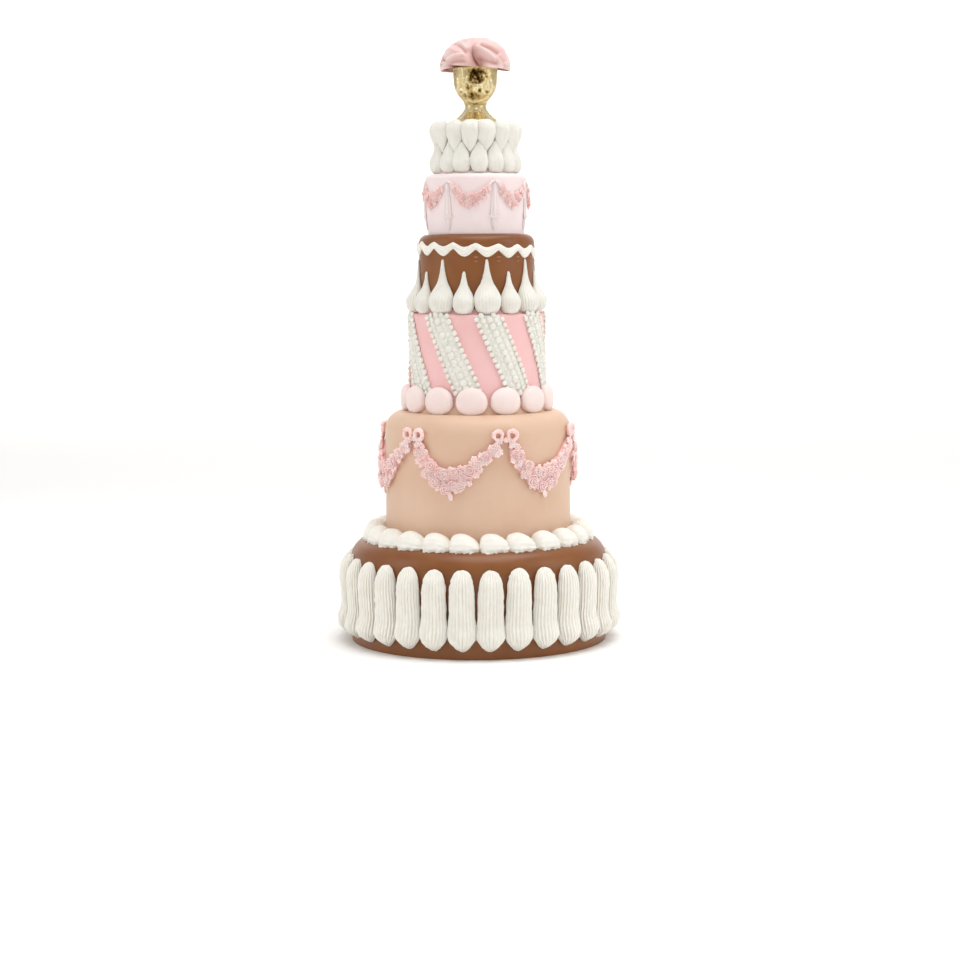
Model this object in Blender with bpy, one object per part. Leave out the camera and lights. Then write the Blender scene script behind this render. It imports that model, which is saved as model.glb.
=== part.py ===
# A tall six-tier celebration cake: rounded fondant tiers with piped icing, sugar
# garlands, pearl bands and a gilt cup that holds a sugar bloom.
# Units are metres, +Z is up, the origin is the middle of the cake's underside and
# -Y is the front. An angle is counted in degrees from the front towards +X.

import math

import bmesh
import bpy
from mathutils import Vector

MM = 0.001
GAP = 0.3 * MM  # clearance between pieces that touch

# Each tier: foot height, height, wall radius at the foot and under the shoulder,
# radius of the rounded shoulder, number of sides and of steps over the shoulder.
TIERS = {
    "tier_1_chocolate": dict(
        foot=0.0, height=103 * MM, foot_radius=129 * MM, radius=129 * MM, shoulder=20 * MM, sides=44, steps=3
    ),
    "tier_2_beige": dict(
        foot=103 * MM, height=128.5 * MM, foot_radius=93.2 * MM, radius=93.2 * MM, shoulder=20 * MM, sides=44, steps=3
    ),
    "tier_3_pink": dict(
        foot=231.5 * MM, height=97.5 * MM, foot_radius=67.2 * MM, radius=67.2 * MM, shoulder=3 * MM, sides=40, steps=1
    ),
    "tier_4_chocolate": dict(
        foot=329 * MM, height=78 * MM, foot_radius=57.8 * MM, radius=57.8 * MM, shoulder=8 * MM, sides=36, steps=3
    ),
    "tier_5_blush": dict(
        foot=407 * MM, height=59 * MM, foot_radius=48.3 * MM, radius=50.6 * MM, shoulder=6 * MM, sides=36, steps=2
    ),
    "tier_6_white": dict(
        foot=466 * MM, height=49 * MM, foot_radius=37.5 * MM, radius=37.5 * MM, shoulder=2 * MM, sides=24, steps=1
    ),
}

FINGERS = 30  # piped fingers round the lowest tier
FINGER_START = 5.0
FINGER_RIDGE_DEPTH = 1.2 * MM
# along a finger, up the wall: distance from the foot, width, how far it stands out
FINGER_STATIONS = (
    (8.5 * MM, 13 * MM, 6.0 * MM),
    (22 * MM, 29.8 * MM, 15.2 * MM),
    (40 * MM, 25.6 * MM, 10.2 * MM),
    (66 * MM, 25.4 * MM, 12.6 * MM),
    (82 * MM, 21.6 * MM, 8.8 * MM),
    (90.8 * MM, 6 * MM, 2.0 * MM),
)

SCALLOPS = 24  # scallops in the border on the lowest tier
SCALLOP_START = 0.3
SCALLOP_OUT = 22 * MM
SCALLOP_TALL = 16 * MM
# along one scallop, left to right: share of its length, share of its full section
SCALLOP_STATIONS = ((0.0, 0.56), (0.14, 0.95), (0.42, 1.0), (0.76, 0.84))

# the bows that hold the garland on the beige tier, set by hand at not quite equal angles
BOW_ANGLES = (16.3, 76.6, 137.2, 197.8, 258.4, 319.0)
BOW_HEIGHT = 212.9 * MM  # middle of the loops
# along a swag: share of the way to the next bow, height of its middle, width; it falls steeply and climbs slowly
SWAG_STATIONS = (
    (0.0, 205 * MM, 12 * MM),
    (0.06, 196 * MM, 25 * MM),
    (0.15, 186 * MM, 27 * MM),
    (0.27, 176 * MM, 25.5 * MM),
    (0.4, 168.5 * MM, 29 * MM),
    (0.52, 172.5 * MM, 26.5 * MM),
    (0.65, 181 * MM, 23 * MM),
    (0.8, 193.5 * MM, 17 * MM),
    (0.92, 202 * MM, 12 * MM),
)
SWAG_OUT = 6.5 * MM
LOOP_RADIUS = 4.6 * MM
LOOP_THICK = 1.6 * MM
LOOP_APART = 6.9 * MM

BALLS = 13
BALL_START = -4.6
BALL_WIDE = 31.2 * MM
BALL_TALL = 28.4 * MM
BALL_OUT = 10.2 * MM
# down a ball's turned side, from its face to its back: share of radius, share of depth
BALL_PROFILE = ((0.46, 0.97), (0.82, 0.75), (1.0, 0.30), (0.90, 0.0))
BALL_SIDES = 10
BALL_CROWN = 0.03  # rise of the middle of a ball's face, as a share of its depth

BANDS = 8  # pearl bands across the pink tier
BAND_TOP_ANGLE = 9.3
BAND_TURN = 25.3
BAND_TOP = 326.8 * MM
BAND_FOOT = 261 * MM
BAND_WIDE = 25.2 * MM
BAND_STEPS = 9
PEARL_OUT = 3.4 * MM
PEARL_DIP = 1.8 * MM

DROPS = 16  # piped teardrops round the foot of the upper chocolate tier
TALL_DROP_START = 10.0
# up a teardrop: height above its foot, half width, how far it stands out
TALL_DROP = (
    (0.0, 7.5 * MM, 8.0 * MM),
    (4.5 * MM, 13.2 * MM, 11.6 * MM),
    (12 * MM, 14.2 * MM, 12.3 * MM),
    (20 * MM, 11.6 * MM, 9.0 * MM),
    (30 * MM, 6.2 * MM, 4.0 * MM),
    (54 * MM, 0.8 * MM, 0.9 * MM),
)
SHORT_DROP = (
    (0.0, 6.5 * MM, 7.0 * MM),
    (7 * MM, 12.0 * MM, 11.6 * MM),
    (17 * MM, 9.6 * MM, 9.2 * MM),
    (26 * MM, 4.6 * MM, 4.2 * MM),
    (42 * MM, 0.8 * MM, 0.9 * MM),
)

WAVES = 16
WAVE_CREST_START = 0.3
WAVE_MIDDLE = 392.2 * MM
WAVE_SWING = 2.9 * MM
WAVE_BAND = 8.0 * MM
WAVE_OUT = 2.6 * MM
WAVE_STEPS = 4

# along a small swag: share of the way to the next pendant, height of its middle, width
SMALL_SWAG_STATIONS = (
    (0.11, 452.6 * MM, 10 * MM),
    (0.19, 449.3 * MM, 13.5 * MM),
    (0.3, 442.8 * MM, 15.4 * MM),
    (0.42, 440 * MM, 16 * MM),
    (0.56, 440.9 * MM, 15 * MM),
    (0.69, 443.8 * MM, 12.8 * MM),
    (0.81, 448.3 * MM, 12.4 * MM),
    (0.9, 451.9 * MM, 10 * MM),
)
SMALL_SWAG_OUT = 3.6 * MM

PENDANT_ANGLES = (21.0, 72.3, 123.5, 174.8, 226.0, 276.6, 326.7)
# down a pendant: height, half width, how far it stands out
PENDANT_STATIONS = (
    (460 * MM, 4.3 * MM, 2.4 * MM),
    (452 * MM, 2.5 * MM, 1.8 * MM),
    (431 * MM, 4.5 * MM, 2.2 * MM),
    (426 * MM, 6.2 * MM, 3.0 * MM),
    (421.5 * MM, 3.6 * MM, 2.4 * MM),
    (412 * MM, 0.8 * MM, 0.9 * MM),
)

TOP_DROPS = 15
LOWER_TOP_START = 3.9
UPPER_TOP_START = -8.5
# from a drop's blunt end to its point: distance, half width, how far it stands out
TOP_DROP = (
    (0.0, 4.8 * MM, 4.4 * MM),
    (5 * MM, 8.8 * MM, 7.1 * MM),
    (15 * MM, 8.6 * MM, 6.9 * MM),
    (31 * MM, 1.0 * MM, 1.4 * MM),
)
UPPER_TOP_END = 518.5 * MM

CUP_SIDES = 18
# up the cup: radius, height above its foot
CUP_PROFILE = (
    (24.0 * MM, 0.0),
    (23.0 * MM, 4.5 * MM),
    (14.5 * MM, 11.0 * MM),
    (10.6 * MM, 17.8 * MM),
    (12.6 * MM, 22.0 * MM),
    (18.6 * MM, 29.5 * MM),
    (21.6 * MM, 39.0 * MM),
    (22.8 * MM, 56.0 * MM),
)
MEDALLION_RADIUS = 9.5 * MM
MEDALLION_OUT = 1.6 * MM
MEDALLION_SIDES = 8
MEDALLION_HEIGHT = 38.5 * MM

BLOOM_SIDES = 20
BLOOM_PETALS = 5
# from the bloom's underside, round its edge and over its crown: radius, height above
# its foot, how deep the folds between the petals cut in, how far the petals' middles droop
BLOOM_PROFILE = (
    (24.4 * MM, 0.0, 0.0, 0.0),
    (29.6 * MM, -2.0 * MM, 2.5 * MM, 3.0 * MM),
    (33.8 * MM, 1.5 * MM, 4.0 * MM, 3.5 * MM),
    (32.8 * MM, 7.0 * MM, 6.0 * MM, 2.0 * MM),
    (29.2 * MM, 15.0 * MM, 6.5 * MM, 0.0),
    (20.0 * MM, 24.0 * MM, 5.5 * MM, 0.0),
    (8.0 * MM, 29.0 * MM, 2.5 * MM, 0.0),
)

# colour (linear red, green, blue), roughness and metallic value
FINISHES = {
    "chocolate_fondant": ((0.235, 0.088, 0.042), 0.42, 0.0),
    "beige_fondant": ((0.700, 0.490, 0.350), 0.50, 0.0),
    "pink_fondant": ((0.880, 0.560, 0.540), 0.50, 0.0),
    "blush_fondant": ((0.850, 0.720, 0.690), 0.50, 0.0),
    "white_fondant": ((0.800, 0.780, 0.700), 0.55, 0.0),
    "royal_icing": ((0.820, 0.790, 0.710), 0.65, 0.0),
    "pale_pink_fondant": ((0.860, 0.740, 0.680), 0.50, 0.0),
    "pearl_icing": ((0.760, 0.750, 0.670), 0.45, 0.0),
    "rose_sugar_paste": ((0.850, 0.510, 0.490), 0.60, 0.0),
    "gilt": ((0.560, 0.390, 0.180), 0.35, 1.0),
    "satin_sugar": ((0.800, 0.500, 0.460), 0.35, 0.0),
}


def clear_scene():
    for obj in list(bpy.data.objects):
        bpy.data.objects.remove(obj, do_unlink=True)


def make_material(name):
    colour, roughness, metallic = FINISHES[name]
    material = bpy.data.materials.new(name)
    material.use_nodes = True
    shader = material.node_tree.nodes["Principled BSDF"]
    shader.inputs["Base Color"].default_value = (*colour, 1.0)
    shader.inputs["Roughness"].default_value = roughness
    shader.inputs["Metallic"].default_value = metallic
    return material


def add_object(name, bm, finish):
    mesh = bpy.data.meshes.new(name)
    bm.to_mesh(mesh)
    bm.free()
    mesh.shade_smooth()
    mesh.set_sharp_from_angle(angle=math.radians(40))
    obj = bpy.data.objects.new(name, mesh)
    bpy.context.scene.collection.objects.link(obj)
    if finish not in bpy.data.materials:
        make_material(finish)
    mesh.materials.append(bpy.data.materials[finish])
    return obj


def outward(angle):
    turn = math.radians(angle)
    return Vector((math.sin(turn), -math.cos(turn), 0.0))


def sideways(angle):
    turn = math.radians(angle)
    return Vector((math.cos(turn), math.sin(turn), 0.0))


def loft(rings, closed=False):
    """A solid skinned over rings of points; a closed one returns to its first ring."""
    bm = bmesh.new()
    loops = [[bm.verts.new(point) for point in ring] for ring in rings]
    following = loops[1:] + loops[:1] if closed else loops[1:]
    for low, high in zip(loops, following):
        for i in range(len(low)):
            j = (i + 1) % len(low)
            bm.faces.new((low[i], low[j], high[j], high[i]))
    if not closed:
        bm.faces.new(loops[0])
        bm.faces.new(loops[-1])
    bmesh.ops.recalc_face_normals(bm, faces=bm.faces[:])
    return bm


def turned(profile, sides, centre_height=0.0):
    """A solid of revolution about the cake's axis, from (radius, height) pairs."""
    rings = []
    for radius, height in profile:
        ring = [
            outward(360.0 * i / sides) * radius + Vector((0.0, 0.0, centre_height + height))
            for i in range(sides)
        ]
        rings.append(ring)
    return loft(rings)


def fuse(base, others):
    """Joins the other objects to the base with one Boolean union, then removes them."""
    joined = bpy.data.collections.new(base.name + "_pieces")
    for other in others:
        joined.objects.link(other)
    union = base.modifiers.new("join", "BOOLEAN")
    union.operation = "UNION"
    union.operand_type = "COLLECTION"
    union.collection = joined
    union.solver = "EXACT"
    evaluated = base.evaluated_get(bpy.context.evaluated_depsgraph_get())
    mesh = bpy.data.meshes.new_from_object(evaluated)
    base.modifiers.clear()
    base.data = mesh
    for other in others:
        bpy.data.objects.remove(other, do_unlink=True)
    bpy.data.collections.remove(joined)
    return base


def wall_radius(tier, height):
    """A tier's radius at a height on its wall, below the shoulder."""
    straight = tier["height"] - tier["shoulder"]
    share = (height - tier["foot"]) / straight
    return tier["foot_radius"] + (tier["radius"] - tier["foot_radius"]) * share


def wall_frame(tier, distance):
    """Radius, height and lean of the surface at a distance up the wall from the foot."""
    straight = tier["height"] - tier["shoulder"]
    if distance <= straight:
        height = tier["foot"] + distance
        return wall_radius(tier, height), height, 0.0
    lean = (distance - straight) / tier["shoulder"]
    middle = tier["radius"] - tier["shoulder"]
    radius = middle + tier["shoulder"] * math.cos(lean)
    height = tier["foot"] + straight + tier["shoulder"] * math.sin(lean)
    return radius, height, lean


def make_tier(name, tier):
    foot = tier["foot"] + (GAP if tier["foot"] > 0 else 0.0)
    straight = tier["foot"] + tier["height"] - tier["shoulder"]
    profile = [(tier["foot_radius"], foot)]
    for step in range(tier["steps"] + 1):
        lean = math.radians(90.0 * step / tier["steps"])
        radius = tier["radius"] - tier["shoulder"] * (1 - math.cos(lean))
        profile.append((radius, straight + tier["shoulder"] * math.sin(lean)))
    finish = name.split("_")[2] + "_fondant"
    return add_object(name, turned(profile, tier["sides"]), finish)


def arch_points(half_width, stands_out, count, ridge_depth=0.0):
    """Across and out for an arched section: two back corners and count arch points."""
    points = [(-0.92 * half_width, 0.0)]
    for i in range(count):
        turn = math.radians(168 - 156 * i / (count - 1))
        dip = ridge_depth if i % 2 else 0.0
        across = (half_width - dip) * math.copysign(abs(math.cos(turn)) ** 0.8, math.cos(turn))
        points.append((across, (stands_out - dip) * math.sin(turn) ** 0.7))
    points.append((0.92 * half_width, 0.0))
    return points


def upright_section(tier, angle, distance, section):
    """Places section points on a flat back that touches the wall at the angle."""
    radius, height, lean = wall_frame(tier, distance)
    out = outward(angle) * math.cos(lean) + Vector((0.0, 0.0, math.sin(lean)))
    origin = outward(angle) * radius + Vector((0.0, 0.0, height)) + out * GAP
    return [origin + sideways(angle) * across + out * off for across, off in section]


def piped_drop(name, tier, angle, stations, finish, arch=4, ridge_depth=0.0):
    """One piped drop or finger up a tier's wall, from (distance, half width, out)."""
    rings = [
        upright_section(tier, angle, distance, arch_points(half, out, arch, ridge_depth))
        for distance, half, out in stations
    ]
    return add_object(name, loft(rings), finish)


def wrapped_section(tier, angle, height, section, step_angle):
    """Places (across, up, out) points round the wall, clear of it between two steps."""
    points = []
    for across, up, off in section:
        level = height + up
        radius = (wall_radius(tier, level) + GAP) / math.cos(math.radians(step_angle / 2)) + off
        turn = angle + math.degrees(across / radius)
        points.append(outward(turn) * radius + Vector((0.0, 0.0, level)))
    return points


def make_fingers():
    tier = TIERS["tier_1_chocolate"]
    stations = [(distance, wide / 2, out) for distance, wide, out in FINGER_STATIONS]
    fingers = []
    for i in range(FINGERS):
        name = "piped_fingers" if i == 0 else f"finger_{i}"
        angle = FINGER_START + 360.0 * i / FINGERS
        fingers.append(piped_drop(name, tier, angle, stations, "royal_icing", 6, FINGER_RIDGE_DEPTH))
    return fuse(fingers[0], fingers[1:])


def make_scallops():
    tier = TIERS["tier_2_beige"]
    pitch = 360.0 / SCALLOPS
    floor = tier["foot"] + GAP
    inner = (tier["radius"] + GAP) / math.cos(math.radians(pitch / 4))
    rings = []
    for i in range(SCALLOPS):
        for share, size in SCALLOP_STATIONS:
            angle = SCALLOP_START + pitch * (i + share)
            out = SCALLOP_OUT * size
            tall = SCALLOP_TALL * size
            section = [(0.0, 0.0), (0.90 * out, 0.0), (out, 0.30 * tall), (0.88 * out, 0.70 * tall)]
            section += [(0.60 * out, 0.98 * tall), (0.30 * out, 0.98 * tall), (0.0, 0.70 * tall)]
            ring = [outward(angle) * (inner + off) + Vector((0.0, 0.0, floor + up)) for off, up in section]
            rings.append(ring)
    return add_object("scallop_border", loft(rings, closed=True), "royal_icing")


def make_balls():
    tier = TIERS["tier_3_pink"]
    middle = tier["foot"] + GAP + BALL_TALL / 2
    for i in range(BALLS):
        angle = BALL_START + 360.0 * i / BALLS
        origin = outward(angle) * (tier["radius"] + GAP) + Vector((0.0, 0.0, middle))
        rings = []
        for radius_share, depth_share in BALL_PROFILE:
            ring = []
            for j in range(BALL_SIDES):
                turn = 2 * math.pi * (j + 0.5) / BALL_SIDES
                across = sideways(angle) * (BALL_WIDE / 2 * radius_share * math.cos(turn))
                up = Vector((0.0, 0.0, BALL_TALL / 2 * radius_share * math.sin(turn)))
                ring.append(origin + across + up + outward(angle) * BALL_OUT * depth_share)
            rings.append(ring)
        bm = loft(rings)
        front = max(bm.faces, key=lambda face: face.calc_center_median().dot(outward(angle)))
        bmesh.ops.poke(bm, faces=[front], offset=BALL_OUT * BALL_CROWN)
        add_object(f"ball_{i + 1:02d}", bm, "pale_pink_fondant")


def make_bands():
    tier = TIERS["tier_3_pink"]
    half = BAND_WIDE / 2
    slope = math.atan2(math.radians(BAND_TURN) * tier["radius"], BAND_TOP - BAND_FOOT)
    back_step = math.degrees(half / tier["radius"])
    for i in range(BANDS):
        rings = []
        for step in range(BAND_STEPS):
            share = step / (BAND_STEPS - 1)
            height = BAND_TOP + (BAND_FOOT - BAND_TOP) * share
            angle = BAND_TOP_ANGLE + 360.0 * i / BANDS + BAND_TURN * share
            edge = PEARL_OUT if step % 2 else PEARL_DIP
            middle = PEARL_DIP if step % 2 else PEARL_OUT
            flat = [(-half, 0.0), (-0.78 * half, edge), (0.0, middle), (0.78 * half, edge), (half, 0.0), (0.0, 0.0)]
            ends = (0, BAND_STEPS - 1)
            lean = 0.0 if step in ends else math.sin(slope)
            section = [(across, across * lean, out) for across, out in flat]
            rings.append(wrapped_section(tier, angle, height, section, back_step))
        add_object(f"pearl_band_{i + 1}", loft(rings), "pearl_icing")


def make_teardrops():
    tier = TIERS["tier_4_chocolate"]
    drops = []
    for i in range(DROPS):
        name = "teardrop_border" if i == 0 else f"drop_{i}"
        shape = SHORT_DROP if i % 2 else TALL_DROP
        stations = [(distance + GAP, half, out) for distance, half, out in shape]
        angle = TALL_DROP_START + 360.0 * i / DROPS
        drops.append(piped_drop(name, tier, angle, stations, "royal_icing"))
    return fuse(drops[0], drops[1:])


def make_wave():
    tier = TIERS["tier_4_chocolate"]
    step_angle = 360.0 / (WAVES * WAVE_STEPS)
    half = WAVE_BAND / 2
    rings = []
    for i in range(WAVES * WAVE_STEPS):
        angle = WAVE_CREST_START + step_angle * i
        phase = 2 * math.pi * i / WAVE_STEPS
        height = WAVE_MIDDLE + WAVE_SWING * math.cos(phase)
        section = [(0.0, -half, 0.0), (0.0, 0.0, WAVE_OUT), (0.0, half, 0.0)]
        rings.append(wrapped_section(tier, angle, height, section, step_angle))
    return add_object("wave_trim", loft(rings, closed=True), "royal_icing")


def swag_section(width, out, lump):
    """Across a garland: its back, and a rounded front that a flower lifts by the lump."""
    half = width / 2
    front = [(-0.62 * half, 0.85 * out - lump), (0.0, out + lump), (0.62 * half, 0.85 * out - lump)]
    return [(0.0, up, off) for up, off in [(-half, 0.0), *front, (half, 0.0)]]


def make_garland():
    tier = TIERS["tier_2_beige"]
    rings = []
    for i, angle in enumerate(BOW_ANGLES):
        span = span_to_next(BOW_ANGLES, i)
        for step, (share, height, width) in enumerate(SWAG_STATIONS):
            lump = 0.9 * MM if (i + step) % 2 else -0.9 * MM
            section = swag_section(width, SWAG_OUT, lump)
            rings.append(wrapped_section(tier, angle + span * share, height, section, 0.15 * span))
    garland = add_object("flower_garland", loft(rings, closed=True), "rose_sugar_paste")
    loops = []
    for i, angle in enumerate(BOW_ANGLES):
        for side in (-1, 1):
            loops.append(bow_loop(tier, angle, side * LOOP_APART, f"loop_{i}_{side}"))
    return fuse(garland, loops)


def span_to_next(angles, i):
    """Degrees from one of a ring of hand-set places to the next one round the cake."""
    return (angles[(i + 1) % len(angles)] - angles[i]) % 360.0


def bow_loop(tier, angle, across, name):
    """One open loop of a bow, a little ring of sugar paste that lies on the wall."""
    sides = 5
    rings = []
    for i in range(sides):
        turn = 2 * math.pi * i / sides
        reach = Vector((math.cos(turn), math.sin(turn)))
        ring = []
        for off_radius, off_out in ((-1.0, 1.0), (1.0, 1.0), (0.0, 3.0)):
            radius = LOOP_RADIUS + off_radius * LOOP_THICK
            level = BOW_HEIGHT + radius * reach.y
            wall = wall_frame(tier, min(level - tier["foot"], tier["height"] - tier["shoulder"]))[0]
            place = outward(angle) * (wall + GAP + off_out * LOOP_THICK)
            place += sideways(angle) * (across + radius * reach.x)
            ring.append(place + Vector((0.0, 0.0, level)))
        rings.append(ring)
    return add_object(name, loft(rings, closed=True), "rose_sugar_paste")


def make_small_swags():
    tier = TIERS["tier_5_blush"]
    for i, angle in enumerate(PENDANT_ANGLES):
        span = span_to_next(PENDANT_ANGLES, i)
        rings = []
        for step, (share, height, width) in enumerate(SMALL_SWAG_STATIONS):
            lump = 0.5 * MM if step % 2 else -0.5 * MM
            section = swag_section(width, SMALL_SWAG_OUT, lump)
            rings.append(wrapped_section(tier, angle + span * share, height, section, 0.15 * span))
        add_object(f"small_garland_{i + 1}", loft(rings), "rose_sugar_paste")


def make_pendants():
    tier = TIERS["tier_5_blush"]
    for i, angle in enumerate(PENDANT_ANGLES):
        stations = [(height - tier["foot"], half, out) for height, half, out in PENDANT_STATIONS]
        piped_drop(f"pendant_{i + 1}", tier, angle, stations, "royal_icing", 3)


def make_top_piping():
    tier = dict(TIERS["tier_6_white"])
    tier["shoulder"] = 0.0
    rows = (
        ("lower_top_drops", LOWER_TOP_START, [(GAP + along, half, out) for along, half, out in TOP_DROP]),
        (
            "upper_top_drops",
            UPPER_TOP_START,
            [(UPPER_TOP_END - tier["foot"] - along, half, out) for along, half, out in TOP_DROP],
        ),
    )
    tier["height"] = UPPER_TOP_END - tier["foot"]
    for row, start, stations in rows:
        drops = []
        for i in range(TOP_DROPS):
            name = row if i == 0 else f"{row}_{i}"
            drops.append(piped_drop(name, tier, start + 360.0 * i / TOP_DROPS, stations, "royal_icing", 3))
        fuse(drops[0], drops[1:])


def make_cup():
    tier = TIERS["tier_6_white"]
    foot = tier["foot"] + tier["height"] + GAP
    cup = add_object("gilt_cup", turned(CUP_PROFILE, CUP_SIDES, foot), "gilt")
    medallions = []
    for angle in (0.0, 180.0):
        rings = []
        for radius, out in ((1.0, 17.0 * MM), (1.0, 21.4 * MM), (0.8, 21.4 * MM + MEDALLION_OUT)):
            ring = []
            for j in range(MEDALLION_SIDES):
                turn = 2 * math.pi * j / MEDALLION_SIDES
                across = sideways(angle) * (MEDALLION_RADIUS * radius * math.cos(turn))
                up = Vector((0.0, 0.0, foot + MEDALLION_HEIGHT + MEDALLION_RADIUS * radius * math.sin(turn)))
                ring.append(outward(angle) * out + across + up)
            rings.append(ring)
        medallions.append(add_object(f"medallion_{int(angle)}", loft(rings), "gilt"))
    return fuse(cup, medallions)


def make_bloom():
    tier = TIERS["tier_6_white"]
    foot = tier["foot"] + tier["height"] + GAP + CUP_PROFILE[-1][1] + GAP
    rings = []
    for radius, height, fold, droop in BLOOM_PROFILE:
        ring = []
        for i in range(BLOOM_SIDES):
            angle = 360.0 * i / BLOOM_SIDES
            petal = abs(math.sin(math.radians(BLOOM_PETALS * angle / 2))) ** 0.7
            reach = radius - fold * (1 - petal)
            ring.append(outward(angle) * reach + Vector((0.0, 0.0, foot + height - droop * petal)))
        rings.append(ring)
    return add_object("sugar_bloom", loft(rings), "satin_sugar")


def main():
    clear_scene()
    for name, tier in TIERS.items():
        make_tier(name, tier)
    make_fingers()
    make_scallops()
    make_garland()
    make_balls()
    make_bands()
    make_teardrops()
    make_wave()
    make_small_swags()
    make_pendants()
    make_top_piping()
    make_cup()
    make_bloom()


main()
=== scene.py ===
import math
import random

import bpy
from mathutils import Matrix, Vector, noise


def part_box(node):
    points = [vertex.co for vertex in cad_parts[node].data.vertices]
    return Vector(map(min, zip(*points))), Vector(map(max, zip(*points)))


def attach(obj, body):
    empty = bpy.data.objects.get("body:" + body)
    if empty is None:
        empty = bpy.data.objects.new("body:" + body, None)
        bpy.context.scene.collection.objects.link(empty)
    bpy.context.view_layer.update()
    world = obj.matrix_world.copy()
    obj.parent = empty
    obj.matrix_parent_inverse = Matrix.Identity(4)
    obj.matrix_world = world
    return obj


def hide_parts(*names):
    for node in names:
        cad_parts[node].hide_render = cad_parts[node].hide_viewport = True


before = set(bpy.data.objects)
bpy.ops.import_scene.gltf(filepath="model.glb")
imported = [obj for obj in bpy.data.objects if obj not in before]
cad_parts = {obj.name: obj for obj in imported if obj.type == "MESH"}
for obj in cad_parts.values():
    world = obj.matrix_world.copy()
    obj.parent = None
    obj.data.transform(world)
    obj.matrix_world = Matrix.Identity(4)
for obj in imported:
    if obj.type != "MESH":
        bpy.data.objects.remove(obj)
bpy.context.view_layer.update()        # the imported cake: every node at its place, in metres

mm = 0.001
draw = random.Random(11)    # one seeded hand for all the small unevenness
print("frame loaded,", len(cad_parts), "nodes")


def deselectAll():
    if bpy.context.mode != "OBJECT":
        bpy.ops.object.mode_set(mode="OBJECT")
    bpy.ops.object.select_all(action="DESELECT")


def pick(*pieces):
    deselectAll()
    for piece in pieces:
        piece.select_set(True)
    bpy.context.view_layer.objects.active = pieces[0]


def editAll(piece):
    pick(piece)
    bpy.ops.object.mode_set(mode="EDIT")
    bpy.ops.mesh.select_all(action="SELECT")


def startPiece(primitive, location=(0, 0, 0), **settings):    # a new object, alone in the selection
    deselectAll()
    primitive(location=location, **settings)
    return bpy.context.object


def startSphere(segments, rings):
    return startPiece(bpy.ops.mesh.primitive_uv_sphere_add, segments=segments, ring_count=rings, radius=1)


def startPlate(columns, rows, thickness):    # from -1 to 1, thickened while it is flat, laid afterwards
    plate = startPiece(bpy.ops.mesh.primitive_grid_add, x_subdivisions=columns, y_subdivisions=rows, size=2)
    return thicken(plate, thickness)


def applyModifiers(piece):
    pick(piece)
    for modifier in list(piece.modifiers):
        bpy.ops.object.modifier_apply(modifier=modifier.name)


def thicken(piece, thickness, offset=-1):
    wall = piece.modifiers.new("wall", "SOLIDIFY")
    wall.thickness, wall.offset = thickness, offset
    applyModifiers(piece)
    return piece


def extrudeOn(move, grow=None, centre=(0, 0, 0)):
    bpy.ops.mesh.extrude_region_move(TRANSFORM_OT_translate={"value": move})
    if grow:
        bpy.ops.transform.resize(value=grow, center_override=centre)


def cleanUp(piece, smoothAngle=55):    # closes the seams and turns every face outwards
    editAll(piece)
    bpy.ops.mesh.remove_doubles(threshold=0.02 * mm)
    bpy.ops.mesh.normals_make_consistent(inside=False)
    pick(piece)
    bpy.ops.object.shade_smooth_by_angle(angle=math.radians(smoothAngle))
    return piece


def joinUp(pieces):
    pick(*pieces)
    if len(pieces) > 1:
        bpy.ops.object.join()
    return bpy.context.object


def finishPiece(name, piece, material, slot, *nodes):
    piece.name = name
    piece.data.name = name
    piece.data.materials.clear()
    piece.data.materials.append(bpy.data.materials[material])
    if nodes:
        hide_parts(*nodes)
    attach(piece, "root")
    print("made", name, len(piece.data.polygons), "faces")


def nodesNamed(beginning):
    return [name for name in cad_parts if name.startswith(beginning)]


def placedCopy(piece, matrix, tint=None):    # a copy with its own mesh
    copy = piece.copy()
    copy.data = piece.data.copy()
    bpy.context.scene.collection.objects.link(copy)
    copy.data.transform(matrix)
    if tint is not None:    # lighter or darker as a whole, on top of its own light and dark places
        layer = copy.data.attributes.get("tint")
        own = [spot.value for spot in layer.data] if layer else [0.0] * len(copy.data.vertices)
        setNumbers(copy, "tint", [value + tint for value in own])
    return copy


def turn(angle):    # about the cake's axis, in degrees
    return Matrix.Rotation(math.radians(angle), 4, "Z")


def setNumbers(piece, name, values):    # one number a vertex, which the material turns into a shade
    layer = piece.data.attributes.get(name) or piece.data.attributes.new(name, "FLOAT", "POINT")
    layer.data.foreach_set("value", values)


def throwAway(*pieces):
    for piece in pieces:
        bpy.data.objects.remove(piece, do_unlink=True)


def roughen(piece, grain, depth, seed=0.0):    # pushes the surface in and out like hand-worked icing
    shift = Vector((seed, 3.1 * seed, -1.7 * seed))
    normals = [v.normal.copy() for v in piece.data.vertices]
    for v, normal in zip(piece.data.vertices, normals):
        v.co += normal * (noise.noise(v.co / grain + shift) * depth)
    piece.data.update()


def clamp(value, low=0.0, high=1.0):
    return min(high, max(low, value))


def hermite(t, a, b, slopeA, slopeB):    # from a to b as t goes from 0 to 1, with a slope at each end
    return ((2 * t**3 - 3 * t**2 + 1) * a + (t**3 - 2 * t**2 + t) * slopeA
            + (3 * t**2 - 2 * t**3) * b + (t**3 - t**2) * slopeB)


# a station is a place and its values; a smooth curve runs through them all
def readStations(stations, place):
    last = len(stations) - 1
    k = max(j for j in range(last) if stations[j][0] <= max(place, stations[0][0]) + 1e-9)
    a, b, before, after = stations[k], stations[k + 1], stations[max(k - 1, 0)], stations[min(k + 2, last)]
    span = b[0] - a[0]
    t = clamp((place - a[0]) / span)
    return [hermite(t, a[j], b[j], (b[j] - before[j]) / (b[0] - before[0]) * span,
                    (after[j] - a[j]) / (after[0] - a[0]) * span) for j in range(1, len(a))]


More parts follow.
